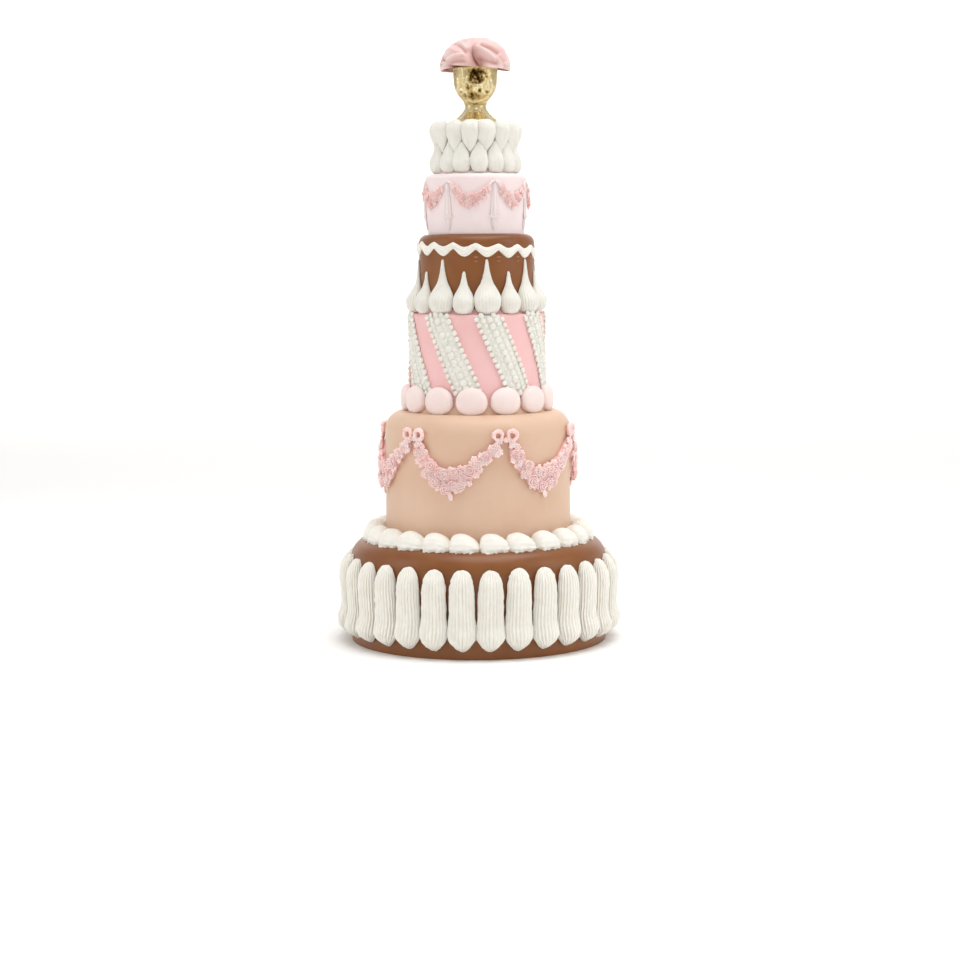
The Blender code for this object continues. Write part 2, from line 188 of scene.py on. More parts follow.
def hexColour(code):    # sRGB hex to linear
    channels = [int(code[i:i + 2], 16) / 255 for i in (1, 3, 5)]
    return [c / 12.92 if c <= 0.04045 else ((c + 0.055) / 1.055) ** 2.4 for c in channels] + [1.0]


def addNode(material, kind, settings=None, links=None):    # a node named in links stands for its first output
    node = material.node_tree.nodes.new("ShaderNode" + kind)
    for key, value in (settings or {}).items():
        if key == "stops":
            stops = node.color_ramp.elements
            for i, (place, code) in enumerate(value):
                stop = stops[i] if i < 2 else stops.new(place)
                stop.position = place
                stop.color = hexColour(code)
        elif isinstance(key, int) or key in node.inputs:
            node.inputs[key].default_value = value
        else:
            setattr(node, key, value)
    for key, source in (links or {}).items():
        socket = source.outputs[0] if hasattr(source, "outputs") else source
        material.node_tree.links.new(socket, node.inputs[key])
    return node


def newMaterial(name):
    material = bpy.data.materials.new(name)
    material.use_nodes = True
    material.node_tree.nodes.clear()
    return material


sugarIor = 1.45
fondantLook = {"mottleSize": 38 * mm, "grainSize": 0.8 * mm, "grainDepth": 0.05 * mm,
               "handSize": 22 * mm, "handDepth": 0.35 * mm}


# rolled fondant: sugar dough rolled out and smoothed by hand, so it is even, soft to the eye and barely shiny
def rolledFondant(name, dark, light, roughness, glow):
    look = fondantLook
    material = newMaterial(name)
    place = addNode(material, "TexCoord").outputs["Object"]
    mottle = addNode(material, "TexNoise",
                     {"Scale": 1 / look["mottleSize"], "Detail": 4.0, "Roughness": 0.55}, {"Vector": place})
    colour = addNode(material, "ValToRGB", {"stops": [(0.36, dark), (0.64, light)]}, {"Fac": mottle})
    polish = addNode(material, "MapRange", {"From Min": 0.3, "From Max": 0.7, "To Min": roughness - 0.05,
                                            "To Max": roughness + 0.05}, {"Value": mottle})
    grain = addNode(material, "TexNoise", {"Scale": 1 / look["grainSize"], "Detail": 3.0, "Roughness": 0.6},
                    {"Vector": place})
    hand = addNode(material, "TexNoise", {"Scale": 1 / look["handSize"], "Detail": 2.0}, {"Vector": place})
    softBump = addNode(material, "Bump", {"Strength": 0.5, "Distance": look["handDepth"]}, {"Height": hand})
    fineBump = addNode(material, "Bump", {"Strength": 0.35, "Distance": look["grainDepth"]},
                       {"Height": grain, "Normal": softBump})
    shader = addNode(material, "BsdfPrincipled",
                     {"IOR": sugarIor, "Subsurface Weight": glow, "Subsurface Scale": 4 * mm,
                      "Subsurface Radius": (1.0, 0.6, 0.45)},
                     {"Base Color": colour, "Roughness": polish, "Normal": fineBump})
    addNode(material, "OutputMaterial", links={"Surface": shader})


# royal icing: egg white and sugar piped through a toothed nozzle, which dries matt, chalky and a bit ragged
def pipedIcing(name, dark, light, paintedGrooveShade, roughness, glow, crumbDepth):
    material = newMaterial(name)
    place = addNode(material, "TexCoord").outputs["Object"]
    cloud = addNode(material, "TexNoise", {"Scale": 1 / (9 * mm), "Detail": 4.0, "Roughness": 0.6},
                    {"Vector": place})
    colour = addNode(material, "ValToRGB", {"stops": [(0.34, dark), (0.66, light)]}, {"Fac": cloud})
    groove = addNode(material, "Attribute", {"attribute_name": "groove"})    # how deep between two ribs, which the material paints as shade in the groove
    shaded = addNode(material, "Mix", {"data_type": "RGBA", "blend_type": "MULTIPLY", 7: hexColour(paintedGrooveShade)},
                     {0: groove.outputs["Fac"], 6: colour})
    crumb = addNode(material, "TexNoise", {"Scale": 1 / (1.1 * mm), "Detail": 4.0, "Roughness": 0.65},
                    {"Vector": place})
    bump = addNode(material, "Bump", {"Strength": 0.5, "Distance": crumbDepth * mm}, {"Height": crumb})
    shader = addNode(material, "BsdfPrincipled",
                     {"IOR": sugarIor, "Roughness": roughness, "Subsurface Weight": glow,
                      "Subsurface Scale": 2.5 * mm, "Subsurface Radius": (1.0, 0.8, 0.65)},
                     {"Base Color": shaded.outputs[2], "Normal": bump})
    addNode(material, "OutputMaterial", links={"Surface": shader})


# sugar paste: gum paste pressed in silicone moulds, dry and powdery, each flower a slightly different pink
# and painted darker low down as shade; satin sugar: the same paste rolled thin and brushed with lustre, so
# folds catch a soft bright line, and painted lighter on folds and lips as highlight and darker in the throat
# as shade
def tintedSugar(name, colours, look):
    material = newMaterial(name)
    place = addNode(material, "TexCoord").outputs["Object"]
    tint = addNode(material, "Attribute", {"attribute_name": "tint"})
    stops = list(zip((0.0, 0.5, 1.0), colours))
    colour = addNode(material, "ValToRGB", {"stops": stops}, {"Fac": tint.outputs["Fac"]})
    grain = addNode(material, "TexNoise", {"Scale": 1 / look["grainSize"], "Detail": 3.0}, {"Vector": place})
    bump = addNode(material, "Bump", {"Strength": look["bump"], "Distance": look["grainDepth"]},
                   {"Height": grain})
    shader = addNode(material, "BsdfPrincipled",
                     {"IOR": sugarIor, "Roughness": look["roughness"], "Subsurface Weight": look["glow"],
                      "Subsurface Scale": 2 * mm, "Subsurface Radius": (1.0, 0.5, look["blueGlow"]),
                      "Sheen Weight": look["lustre"]},
                     {"Base Color": colour, "Normal": bump})
    addNode(material, "OutputMaterial", links={"Surface": shader})


# antiqued gilt: gold leaf over cast resin, rubbed back where it is high and brown with patina in the hollows
def antiquedGilt(name, rubbed, leafGold, patina, deep):
    material = newMaterial(name)
    place = addNode(material, "TexCoord").outputs["Object"]
    hollow = addNode(material, "Attribute", {"attribute_name": "tint"})
    smudge = addNode(material, "TexNoise", {"Scale": 1 / (3.2 * mm), "Detail": 5.0, "Roughness": 0.65},
                     {"Vector": place})
    dirt = addNode(material, "Math", {"operation": "MULTIPLY_ADD", 1: 1.1, 2: -0.55}, {0: smudge})
    wear = addNode(material, "Math", {"operation": "ADD"}, {0: hollow.outputs["Fac"], 1: dirt})
    stops = [(0.06, rubbed), (0.38, leafGold), (0.68, patina), (1.0, deep)]
    colour = addNode(material, "ValToRGB", {"stops": stops}, {"Fac": wear})
    dull = addNode(material, "MapRange", {"To Min": 0.26, "To Max": 0.62}, {"Value": wear})
    leafFold = addNode(material, "TexNoise", {"Scale": 1 / (1.6 * mm), "Detail": 4.0, "Roughness": 0.6},
                       {"Vector": place})
    bump = addNode(material, "Bump", {"Strength": 0.45, "Distance": 0.25 * mm}, {"Height": leafFold})
    shader = addNode(material, "BsdfPrincipled", {"Metallic": 1.0},
                     {"Base Color": colour, "Roughness": dull, "Normal": bump})
    addNode(material, "OutputMaterial", links={"Surface": shader})


fondants = {    # darker and lighter mottle, roughness, share of light that soaks in
    "chocolateFondant": ("#7f491e", "#885224", 0.36, 0.05),
    # the dots' chocolate: the tier's chocolate painted lighter, as a highlight
    "paintedHighlightChocolate": ("#a0623f", "#ab6c48", 0.36, 0.05),
    "beigeFondant": ("#dbb89d", "#dfbea5", 0.48, 0.10),
    "pinkFondant": ("#f2c0be", "#f5c6c5", 0.50, 0.12),
    "blushFondant": ("#f2e1e0", "#f5e6e5", 0.50, 0.12),
    "whiteFondant": ("#e9e5d9", "#eeeae0", 0.52, 0.12),
    "ballFondant": ("#f3dfd9", "#f6e5e0", 0.46, 0.14),
}
# the royal and the smooth icing are one icing: the royal is painted lighter against the shade of the finger
# ribs, the smooth painted darker for the drops, which the lamps light more
icings = {    # darker and lighter cloud, painted shade in a groove, roughness, share that soaks in, crumb in mm
    "royalIcingPaintedLighter": ("#efebe1", "#f6f3eb", "#b3aa97", 0.62, 0.12, 0.22),
    "smoothIcingPaintedDarker": ("#e6e3d9", "#edeae2", "#b3aa97", 0.55, 0.32, 0.14),
    "pearlIcing": ("#e8e5da", "#f1eee5", "#b3aa97", 0.42, 0.30, 0.10),
    "pendantIcing": ("#eee0dd", "#f3e6e3", "#b5a39f", 0.50, 0.10, 0.10),
}
for name, look in fondants.items():
    rolledFondant(name, *look)
for name, look in icings.items():
    pipedIcing(name, *look)
tintedSugar("rosePaste", ("#f4bfbc", "#fdd7d3", "#fee6e2"), {    # from dark to light
    "grainSize": 0.9 * mm, "grainDepth": 0.12 * mm, "bump": 0.4, "roughness": 0.62, "glow": 0.35,
    "blueGlow": 0.45, "lustre": 0.0})
tintedSugar("satinSugar", ("#b37e73", "#deb6b0", "#efd5d1"), {    # painted shade and gold reflection in the throat, petal, painted highlight at its edge
    "grainSize": 2.2 * mm, "grainDepth": 0.15 * mm, "bump": 0.3, "roughness": 0.36, "glow": 0.2,
    "blueGlow": 0.4, "lustre": 0.15})
antiquedGilt("antiquedGilt", "#e8d8ad", "#c9b077", "#735829", "#2a1b0c")
print("materials mixed")


def drawChain(points):    # a chain of edges, by extruding one vertex
    chain = startPiece(bpy.ops.mesh.primitive_plane_add, size=mm)
    bpy.ops.object.mode_set(mode="EDIT")
    bpy.ops.mesh.merge(type="CENTER")
    bpy.ops.transform.translate(value=points[0])
    for here, there in zip(points, points[1:]):
        step = [b - a for a, b in zip(here, there)]
        bpy.ops.mesh.extrude_vertices_move(TRANSFORM_OT_translate={"value": step})
    bpy.ops.mesh.select_all(action="SELECT")
    return chain


def spinProfile(points, steps):    # points are radius and height
    piece = drawChain([(radius, 0, height) for radius, height in points])
    bpy.ops.mesh.spin(steps=steps, angle=2 * math.pi, center=(0, 0, 0), axis=(0, 0, 1))
    return cleanUp(piece)


# a toothed nozzle's bead of icing: a ribbed ring pushed out step by step along +Z, then sliced flat at its
# back; X is across, -Y is away from the wall that it lies on
def pipeBead(look, variant=0):
    count = look["ribs"] * 4
    seat = look["seat"]    # how far the bead's middle stands off the wall, as a share of its depth
    stations = [[value * mm for value in station] for station in look["stations"]]
    first, last = stations[0][0], stations[-1][0]
    rows = []
    for i in range(look["steps"] + 1):    # closest together at both ends
        along = first + (last - first) * (1 - math.cos(math.pi * i / look["steps"])) / 2
        rows.append([along] + [max(value, 0.2 * mm) for value in readStations(stations, along)])
    for row in rows[1:-1]:    # the nozzle never moves quite evenly
        row[1] *= 1 + look["ragged"] * draw.uniform(-1, 1)
        row[2] *= 1 + look["ragged"] * draw.uniform(-0.6, 0.6)
    piece = startPiece(bpy.ops.mesh.primitive_circle_add, vertices=count, radius=1)
    grooves = [1 - abs(math.sin(math.pi * i / 4)) for i in range(count)]    # round ribs, sharp grooves
    for v, groove in zip(piece.data.vertices, grooves):
        v.co *= 1 - look["ribDepth"] * groove
    # painted shade: the deeper between two ribs, the darker
    setNumbers(piece, "groove", [look["grooveShade"] * groove for groove in grooves])
    editAll(piece)
    along, half, out = rows[0]
    bpy.ops.transform.resize(value=(half, out * (1 - seat), 1), center_override=(0, 0, 0))
    bpy.ops.transform.translate(value=(0, -seat * out, along))
    bpy.ops.mesh.edge_face_add()
    for before, (along, half, out) in zip(rows, rows[1:]):
        push = (0, -seat * (out - before[2]), along - before[0])
        extrudeOn(push, (half / before[1], out / before[2], 1), (0, -seat * out, along))
    bpy.ops.mesh.select_all(action="SELECT")
    bpy.ops.mesh.bisect(plane_co=(0, 0.7 * mm, 0), plane_no=(0, 1, 0), clear_outer=True, use_fill=True)
    cleanUp(piece)
    roughen(piece, look["tornSize"], look["tornDepth"], 5.0 + variant)
    roughen(piece, look["tornSize"] * 0.4, look["tornDepth"] * 0.5, 8.0 + variant)
    return piece


def ringOfCopies(kinds, count, start, wander):    # spaced round the cake by hand, so each strays a little
    copies = []
    for i in range(count):
        angle = start + 360 / count * i + wander * draw.uniform(-1, 1)
        copies.append(placedCopy(kinds[i % len(kinds)], turn(angle)))
    throwAway(*kinds)
    return joinUp(copies)


taperTall = 25 * mm    # how far up a tier its foot may be drawn in


def wallAt(wall, distance):    # radius, height and lean of a tier's surface, at a distance up from its foot
    straight = wall["height"] - wall["shoulder"]
    if distance <= straight or wall["shoulder"] == 0:
        share = clamp(distance / taperTall)
        drawnIn = wall["taper"] * (1 - share * share * (3 - 2 * share))
        return wall["radius"] - drawnIn, wall["foot"] + distance, 0.0
    lean = (distance - straight) / wall["shoulder"]
    radius = wall["radius"] - wall["shoulder"] * (1 - math.cos(lean))
    return radius, wall["foot"] + straight + wall["shoulder"] * math.sin(lean), lean


def layOnWall(piece, wall):    # bends a bead that was piped along +Z up the wall at the cake's front
    for v in piece.data.vertices:
        across, out, along = v.co.x, -v.co.y, v.co.z
        radius, height, lean = wallAt(wall, along)
        reach = radius + out * math.cos(lean)
        angle = across / reach
        v.co = Vector((math.sin(angle) * reach, -math.cos(angle) * reach, height + out * math.sin(lean)))
    piece.data.update()
    return piece


def wallSpot(wall, angle, height, out=0.0):    # a point on a wall, its outward and sideways directions
    radius = wallAt(wall, height - wall["foot"])[0] + out
    angle = math.radians(angle)
    outward = Vector((math.sin(angle), -math.cos(angle), 0))
    return outward * radius + Vector((0, 0, height)), outward, Vector((math.cos(angle), math.sin(angle), 0))


def facingMatrix(spot, outward, sideways, spin=0.0, size=1.0, lean=0.0):    # +Z of a piece turns outward
    up = outward.cross(sideways) * -1
    up = Vector((0, 0, 1)) if up.z < 0 else up
    basis = Matrix((sideways, up, outward)).transposed().to_4x4()
    turned = Matrix.Rotation(spin, 4, "Z") @ Matrix.Rotation(lean, 4, "X") @ Matrix.Scale(size, 4)
    return Matrix.Translation(spot) @ basis @ turned


def wallPlace(wall, angle, height, out, across=0.0, spin=0.0, size=1.0):    # for a small piece beside a spot
    spot, outward, sideways = wallSpot(wall, angle, height, out)
    return facingMatrix(spot + sideways * across, outward, sideways, spin, size)


tierLooks = {    # in mm: how far the top edge is rounded, the foot flares, and the foot is drawn in
    "chocolateTier": {"node": "tier_1_chocolate", "slot": "chocolate_fondant", "material": "chocolateFondant",
                      "shoulder": 20, "flare": 0.8, "taper": 0},
    "beigeTier": {"node": "tier_2_beige", "slot": "beige_fondant", "material": "beigeFondant",
                  "shoulder": 19, "flare": 0.3, "taper": 0},
    "pinkTier": {"node": "tier_3_pink", "slot": "pink_fondant", "material": "pinkFondant",
                 "shoulder": 3, "flare": 0.2, "taper": 0},
    "upperChocolateTier": {"node": "tier_4_chocolate", "slot": "chocolate_fondant",
                           "material": "chocolateFondant", "shoulder": 9, "flare": 0.2, "taper": 0},
    "blushTier": {"node": "tier_5_blush", "slot": "blush_fondant", "material": "blushFondant",
                  "shoulder": 5, "flare": 0, "taper": 2.3},
    "whiteTier": {"node": "tier_6_white", "slot": "white_fondant", "material": "whiteFondant",
                  "shoulder": 2, "flare": 0, "taper": 0},
}
handWobble = 0.45 * mm    # a rolled skin is never quite true


def makeTier(name, look):
    low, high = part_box(look["node"])
    radius, foot, shoulder = (high.y - low.y) / 2, low.z, look["shoulder"] * mm
    wall = {"foot": foot, "height": high.z - foot, "radius": radius, "shoulder": shoulder,
            "taper": look["taper"] * mm}
    footRadius = wallAt(wall, 0)[0]
    points = [(0, foot), (footRadius * 0.6, foot), (footRadius, foot)]
    wallSteps, shoulderSteps, topSteps = 20, 10, 5
    for i in range(1, wallSteps + 1):
        distance = (wall["height"] - shoulder) * i / wallSteps
        flare = look["flare"] * mm * math.exp(-distance / (3 * mm))
        points.append((wallAt(wall, distance)[0] + flare, foot + distance))
    for i in range(1, shoulderSteps + 1):
        lean = math.pi / 2 * i / shoulderSteps
        points.append((radius - shoulder * (1 - math.cos(lean)), high.z - shoulder * (1 - math.sin(lean))))
    for i in range(1, topSteps + 1):
        points.append(((radius - shoulder) * (1 - i / topSteps), high.z))
    piece = spinProfile(points, 128)
    for v in piece.data.vertices:
        reach = math.hypot(v.co.x, v.co.y)
        if reach > 0.5 * radius and v.co.z > foot + 0.5 * mm:
            swell = (noise.noise(v.co / (45 * mm)) - 0.2) * handWobble
            v.co.x *= 1 + swell / reach
            v.co.y *= 1 + swell / reach
    piece.data.update()
    finishPiece(name, piece, look["material"], look["slot"], look["node"])
    return wall


walls = {name: makeTier(name, look) for name, look in tierLooks.items()}


# a bead's stations, here and below, in mm: place along it, half width, how far it stands out;
# this one's place runs up the wall from its foot
fingerLook = {
    "count": 30, "start": 5.0, "variants": 5, "ribs": 21, "ribDepth": 0.15, "grooveShade": 0.15, "steps": 31,
    "seat": 0.34, "ragged": 0.024, "tornSize": 2.6 * mm, "tornDepth": 0.6 * mm, "tilt": 0.9, "stretch": 0.01,
    "stations": [(8.0, 1.6, 1.6), (10, 4.6, 5.4), (14, 8.8, 11.8), (18.5, 12.4, 14.8), (23, 14.3, 15.2),
                 (28, 14.3, 13.6), (35, 13.6, 11.4), (43, 13.0, 11.6), (55, 12.6, 12.3), (66, 12.2, 12.8),
                 (74, 11.3, 11.8), (80, 9.8, 9.4), (84.2, 7.4, 6.4), (86.6, 4.2, 3.8), (87.4, 1.4, 1.4)],
}


def makeFingers(look, wall):
    variants = [layOnWall(pipeBead(look, k), wall) for k in range(look["variants"])]
    fingers = []
    for i in range(look["count"]):
        stretch = 1 + look["stretch"] * draw.uniform(-1, 1)
        finger = placedCopy(variants[i % look["variants"]], Matrix.Diagonal((1, 1, stretch, 1)))
        slant = math.tan(math.radians(look["tilt"] * draw.uniform(-1, 1)))
        for v in finger.data.vertices:    # each finger is piped by hand, so it leans a little
            v.co.x += slant * (v.co.z - 50 * mm)
        finger.data.transform(turn(look["start"] + 360 / look["count"] * i))
        fingers.append(finger)
    throwAway(*variants)
    return joinUp(fingers)


fingers = makeFingers(fingerLook, walls["chocolateTier"])
finishPiece("pipedFingers", fingers, "royalIcingPaintedLighter", "royal_icing", "piped_fingers")


scallopLook = {
    "count": 24, "start": 7.8, "wander": 0.5, "variants": 4, "ribs": 17, "ribDepth": 0.03,
    "grooveShade": 0.04, "steps": 26, "seat": 0.2, "ragged": 0.010,
    "tornSize": 2.6 * mm, "tornDepth": 0.4 * mm,
    "middleRadius": 104.8 * mm, "edgeTear": 3.4 * mm, "edgeTall": 6 * mm, "shoulderStart": 109 * mm,
    # fine arcs where the nozzle turned: their pitch and depth, where they centre, how far they reach
    "arcPitch": 2.3 * mm, "arcDepth": 0.055, "arcMiddle": (15 * mm, -2 * mm), "arcReach": 8 * mm,
    # along the ring: the head rises steeply, and the tail slips under the next head
    "stations": [(-13.8, 2.5, 3.0), (-12.6, 7.9, 10.5), (-10, 10.9, 14.2), (-5, 12.2, 16.0), (0, 12.2, 15.8),
                 (5, 11.7, 14.2), (9, 10.8, 11.8), (12.5, 9.2, 8.6), (15, 6.6, 5.2), (16.5, 2.5, 2.2)],
}


def makeScallops(look, floor, shoulder):
    variants = []
    for k in range(look["variants"]):
        bead = pipeBead(look, 20 + k)
        for v in bead.data.vertices:    # lay it along the ring, its back on the tier's rounding top
            across, out, along = v.co.x, -v.co.y, v.co.z
            torn = max(0.0, 1 - out / look["edgeTall"]) * look["edgeTear"]
            tear = noise.noise(Vector((along, across, out)) / (2.1 * mm) + Vector((k, 7, 0)))
            fromArc = math.dist((along, out), look["arcMiddle"])
            arc = math.sin(2 * math.pi * fromArc / look["arcPitch"])
            arc *= math.exp(-((fromArc / look["arcReach"]) ** 2))
            reach = look["middleRadius"] + across * (1 + look["arcDepth"] * arc)
            reach += torn * tear * math.copysign(1, across)
            over = clamp(reach - look["shoulderStart"], 0.0, 0.95 * shoulder)
            drop = shoulder - math.sqrt(shoulder**2 - over**2)
            angle = along / look["middleRadius"]
            v.co = Vector((math.sin(angle) * reach, -math.cos(angle) * reach, floor + out - 1.15 * drop))
        variants.append(bead)
    return ringOfCopies(variants, look["count"], look["start"], look["wander"])


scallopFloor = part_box("tier_1_chocolate")[1].z + 0.2 * mm
scallops = makeScallops(scallopLook, scallopFloor, walls["chocolateTier"]["shoulder"])
finishPiece("scallopBorder", scallops, "royalIcingPaintedLighter", "royal_icing", "scallop_border")


ballLook = {"count": 13, "start": -4.6, "halfWide": 15.6 * mm, "halfTall": 13.9 * mm, "hang": 1.4 * mm,
            "sink": 1.3 * mm, "middleOut": 2.6 * mm, "halfDeep": 7.5 * mm, "flattening": 0.78,
            "dentSize": 16 * mm, "dentDepth": 0.3 * mm, "gap": 0.3 * mm}


def makeBalls(look, wall):
    ball = startSphere(48, 32)
    editAll(ball)
    bpy.ops.transform.rotate(value=math.pi / 2, orient_axis="X", center_override=(0, 0, 0))
    pick(ball)
    for v in ball.data.vertices:    # pressed on, so its face is flatter than a sphere's
        press = math.copysign(abs(v.co.y) ** look["flattening"], v.co.y)
        low = max(0.0, -v.co.z)
        full = 1 + 0.12 * low * (1 - low)    # the soft dough settles, so the lower half is fuller
        level = look["halfTall"] * (v.co.z if v.co.z > 0 else -(low**0.86))
        level -= look["hang"] * low * max(0.0, -press)    # its lip hangs over the rounding tier below
        v.co = Vector((v.co.x * full * look["halfWide"], press * look["halfDeep"], level))
    editAll(ball)
    back = (0, look["middleOut"], 0)
    bpy.ops.mesh.bisect(plane_co=back, plane_no=(0, 1, 0), clear_outer=True, use_fill=True)
    cleanUp(ball)
    balls = []
    middle = wall["foot"] + look["halfTall"] - look["sink"]
    for i in range(look["count"]):
        copy = placedCopy(ball, Matrix.Diagonal((draw.uniform(0.985, 1.01), 1, draw.uniform(0.985, 1.0), 1)))
        roughen(copy, look["dentSize"], look["dentDepth"], 2.0 * i)
        out = wall["radius"] + look["gap"] + look["middleOut"]
        copy.data.transform(Matrix.Translation((0, -out, middle)))
        copy.data.transform(turn(look["start"] + 360 / look["count"] * i))
        balls.append(copy)
    throwAway(ball)
    return joinUp(balls)


def makeSeam(wall, tall):    # the lower tier's paste, drawn up over the step and seen in a border's gaps
    # how far out of the wall in mm, and how far up its height
    section = [(-1.5, 0), (4, 0), (3, 0.25), (1.4, 0.65), (0.4, 1), (-1.5, 1), (-1.5, 0)]
    foot = wall["foot"] - 0.5 * mm
    return spinProfile([(wall["radius"] + out * mm, foot + up * tall) for out, up in section], 96)


finishPiece("beigeSeam", makeSeam(walls["pinkTier"], 9 * mm), "beigeFondant", "beige_fondant")
balls = makeBalls(ballLook, walls["pinkTier"])
finishPiece("fondantBalls", balls, "ballFondant", "pale_pink_fondant", *nodesNamed("ball_"))


bandLook = {
    "count": 8, "start": 8.7, "turn": 29.0, "top": 328.5 * mm, "foot": 252 * mm, "halfWide": 11.2 * mm,
    "stripOut": 1.9 * mm,
    # each row of beads in mm: across the band, pitch, half width, half length, how far its middle stands out
    "rows": [(-11.6, 6.2, 2.6, 2.7, 1.4), (11.6, 6.2, 2.6, 2.7, 1.4), (-5.6, 5.2, 2.5, 3.0, 1.3),
             (5.6, 5.2, 2.5, 3.0, 1.3), (0.0, 7.2, 3.6, 4.2, 1.5)],
}


def bandLean(look, wall):
    return math.atan2(math.radians(look["turn"]) * wall["radius"], look["top"] - look["foot"])


def bandSpot(look, wall, k, height, across, out):    # a place on band k, across its width
    share = (look["top"] - height) / (look["top"] - look["foot"])
    angle = look["start"] + 360 / look["count"] * k + look["turn"] * share
    lean = bandLean(look, wall)
    side = math.degrees(across * math.cos(lean) / wall["radius"])
    return wallSpot(wall, angle + side, height + across * math.sin(lean), out)


def makeStrips(look, wall):
    strips = []
    for k in range(look["count"]):
        strip = startPlate(14, 60, 1.0)
        for v in strip.data.vertices:
            x, y, raised = v.co.x, v.co.y, v.co.z > -0.5
            across = x * (look["halfWide"] + 0.5 * mm * noise.noise(Vector((y * 9, k, x))))
            height = (look["top"] + look["foot"]) / 2 - y * (look["top"] - look["foot"]) / 2
            height -= across * 0.36 * abs(y)**12    # the ends run level with the tier's edges
            height -= 1.6 * mm * y * abs(x)**3 * abs(y)**6 * noise.noise(Vector((x * 3, k, 0)))
            out = look["stripOut"] * (1 - max(abs(x), abs(y))**8) if raised else -0.2 * mm
            out += 0.35 * mm * noise.noise(Vector((x * 4, y * 22, 3.0 * k))) if raised else 0
            v.co = bandSpot(look, wall, k, height, across, out)[0]
        strips.append(strip)
    return cleanUp(joinUp(strips))


def makePearls(look, wall):
    bead = startSphere(8, 6)
    slant = bandLean(look, wall)
    beads = []
    for k in range(look["count"]):
        for row in look["rows"]:
            across, pitch, halfWide, halfLong, seat = (value * mm for value in row)
            height = look["top"] + 3 * mm - draw.uniform(0, 0.5) * pitch
            while height > look["foot"] - 4 * mm:
                wander = draw.uniform(-0.35, 0.35) * mm
                spot, outward, sideways = bandSpot(look, wall, k, height, across + wander, seat)
                if look["foot"] - 1.6 * mm < spot.z < look["top"] + 0.9 * mm:
                    size = draw.uniform(0.88, 1.08)
                    shape = Matrix.Diagonal((halfWide * size, halfLong * size, halfWide * 0.62 * size, 1))
                    place = facingMatrix(spot, outward, sideways, slant + math.radians(draw.uniform(-9, 9)))
                    beads.append(placedCopy(bead, place @ shape))
                height -= pitch * math.cos(slant) * draw.uniform(0.95, 1.05)
    throwAway(bead)
    pearls = joinUp(beads)
    roughen(pearls, 2.2 * mm, 0.3 * mm, 9.0)
    return cleanUp(pearls)


bandNodes = nodesNamed("pearl_band_")
for name, make in (("pearlStrips", makeStrips), ("pearlRows", makePearls)):
    finishPiece(name, make(bandLook, walls["pinkTier"]), "pearlIcing", "pearl_icing", *bandNodes)


# each place is a height above the drop's foot
tallDropLook = {
    "ribs": 24, "ribDepth": 0.07, "grooveShade": 0.10, "steps": 28, "seat": 0.36, "ragged": 0.006,
    "tornSize": 2.2 * mm, "tornDepth": 0.2 * mm,
    "stations": [(-0.6, 6.6, 6.0), (1.4, 9.3, 9.8), (4.8, 11.8, 12.7), (10, 13.6, 14.0), (15, 13.8, 13.2),
                 (20, 12.4, 9.8), (25, 9.6, 6.4), (29.5, 6.7, 4.2), (35, 4.7, 3.0), (41, 3.1, 2.4),
                 (47, 2.0, 1.9), (51.5, 1.4, 1.4), (53.2, 0.8, 0.8)],
}
shortDropLook = {
    **tallDropLook, "ribs": 20, "ribDepth": 0.05, "grooveShade": 0.06,
    "stations": [(-0.6, 5.8, 5.2), (1.4, 8.0, 8.8), (4.8, 9.9, 11.9), (9.8, 10.9, 13.1), (14.8, 10.6, 12.2),
                 (19.5, 8.8, 8.8), (24, 6.2, 5.6), (28.5, 4.0, 3.6), (34, 2.6, 2.4), (39.5, 1.6, 1.7),
                 (41.4, 0.8, 0.8)],
}


def ringOfDrops(looks, wall, count, start, wander, variantCount):    # the looks take turns round the ring
    beads = [[layOnWall(pipeBead(look, 40 + 7 * k + j), wall) for k in range(variantCount)]
             for j, look in enumerate(looks)]
    return ringOfCopies([bead for group in zip(*beads) for bead in group], count, start, wander)


upperWall = walls["upperChocolateTier"]
finishPiece("pinkSeam", makeSeam(upperWall, 5.5 * mm), "pinkFondant", "pink_fondant")
teardrops = ringOfDrops([tallDropLook, shortDropLook], upperWall, 16, 10.0, 0.5, 2)
finishPiece("teardropBorder", teardrops, "smoothIcingPaintedDarker", "royal_icing", "teardrop_border")


waveLook = {
    "waves": 16, "crest": -0.6, "rise": 0.2 * mm, "tilt": 1.9 * mm, "out": 2.6 * mm, "grooves": 3,
    "grooveDepth": 0.5 * mm, "steps": 480, "halfBand": 4 * mm,
    # the ribbon's upper and lower edge at a crest, and how far each falls at a trough
    "topAtCrest": 398.2 * mm, "topFall": 4.0 * mm, "footAtCrest": 391.9 * mm, "footFall": 7.4 * mm}
dotLook = {"heights": (384.6 * mm, 380.6 * mm), "halfWide": 2.5 * mm, "halfTall": 0.9 * mm, "out": 0.6 * mm,
           "crests": 12}


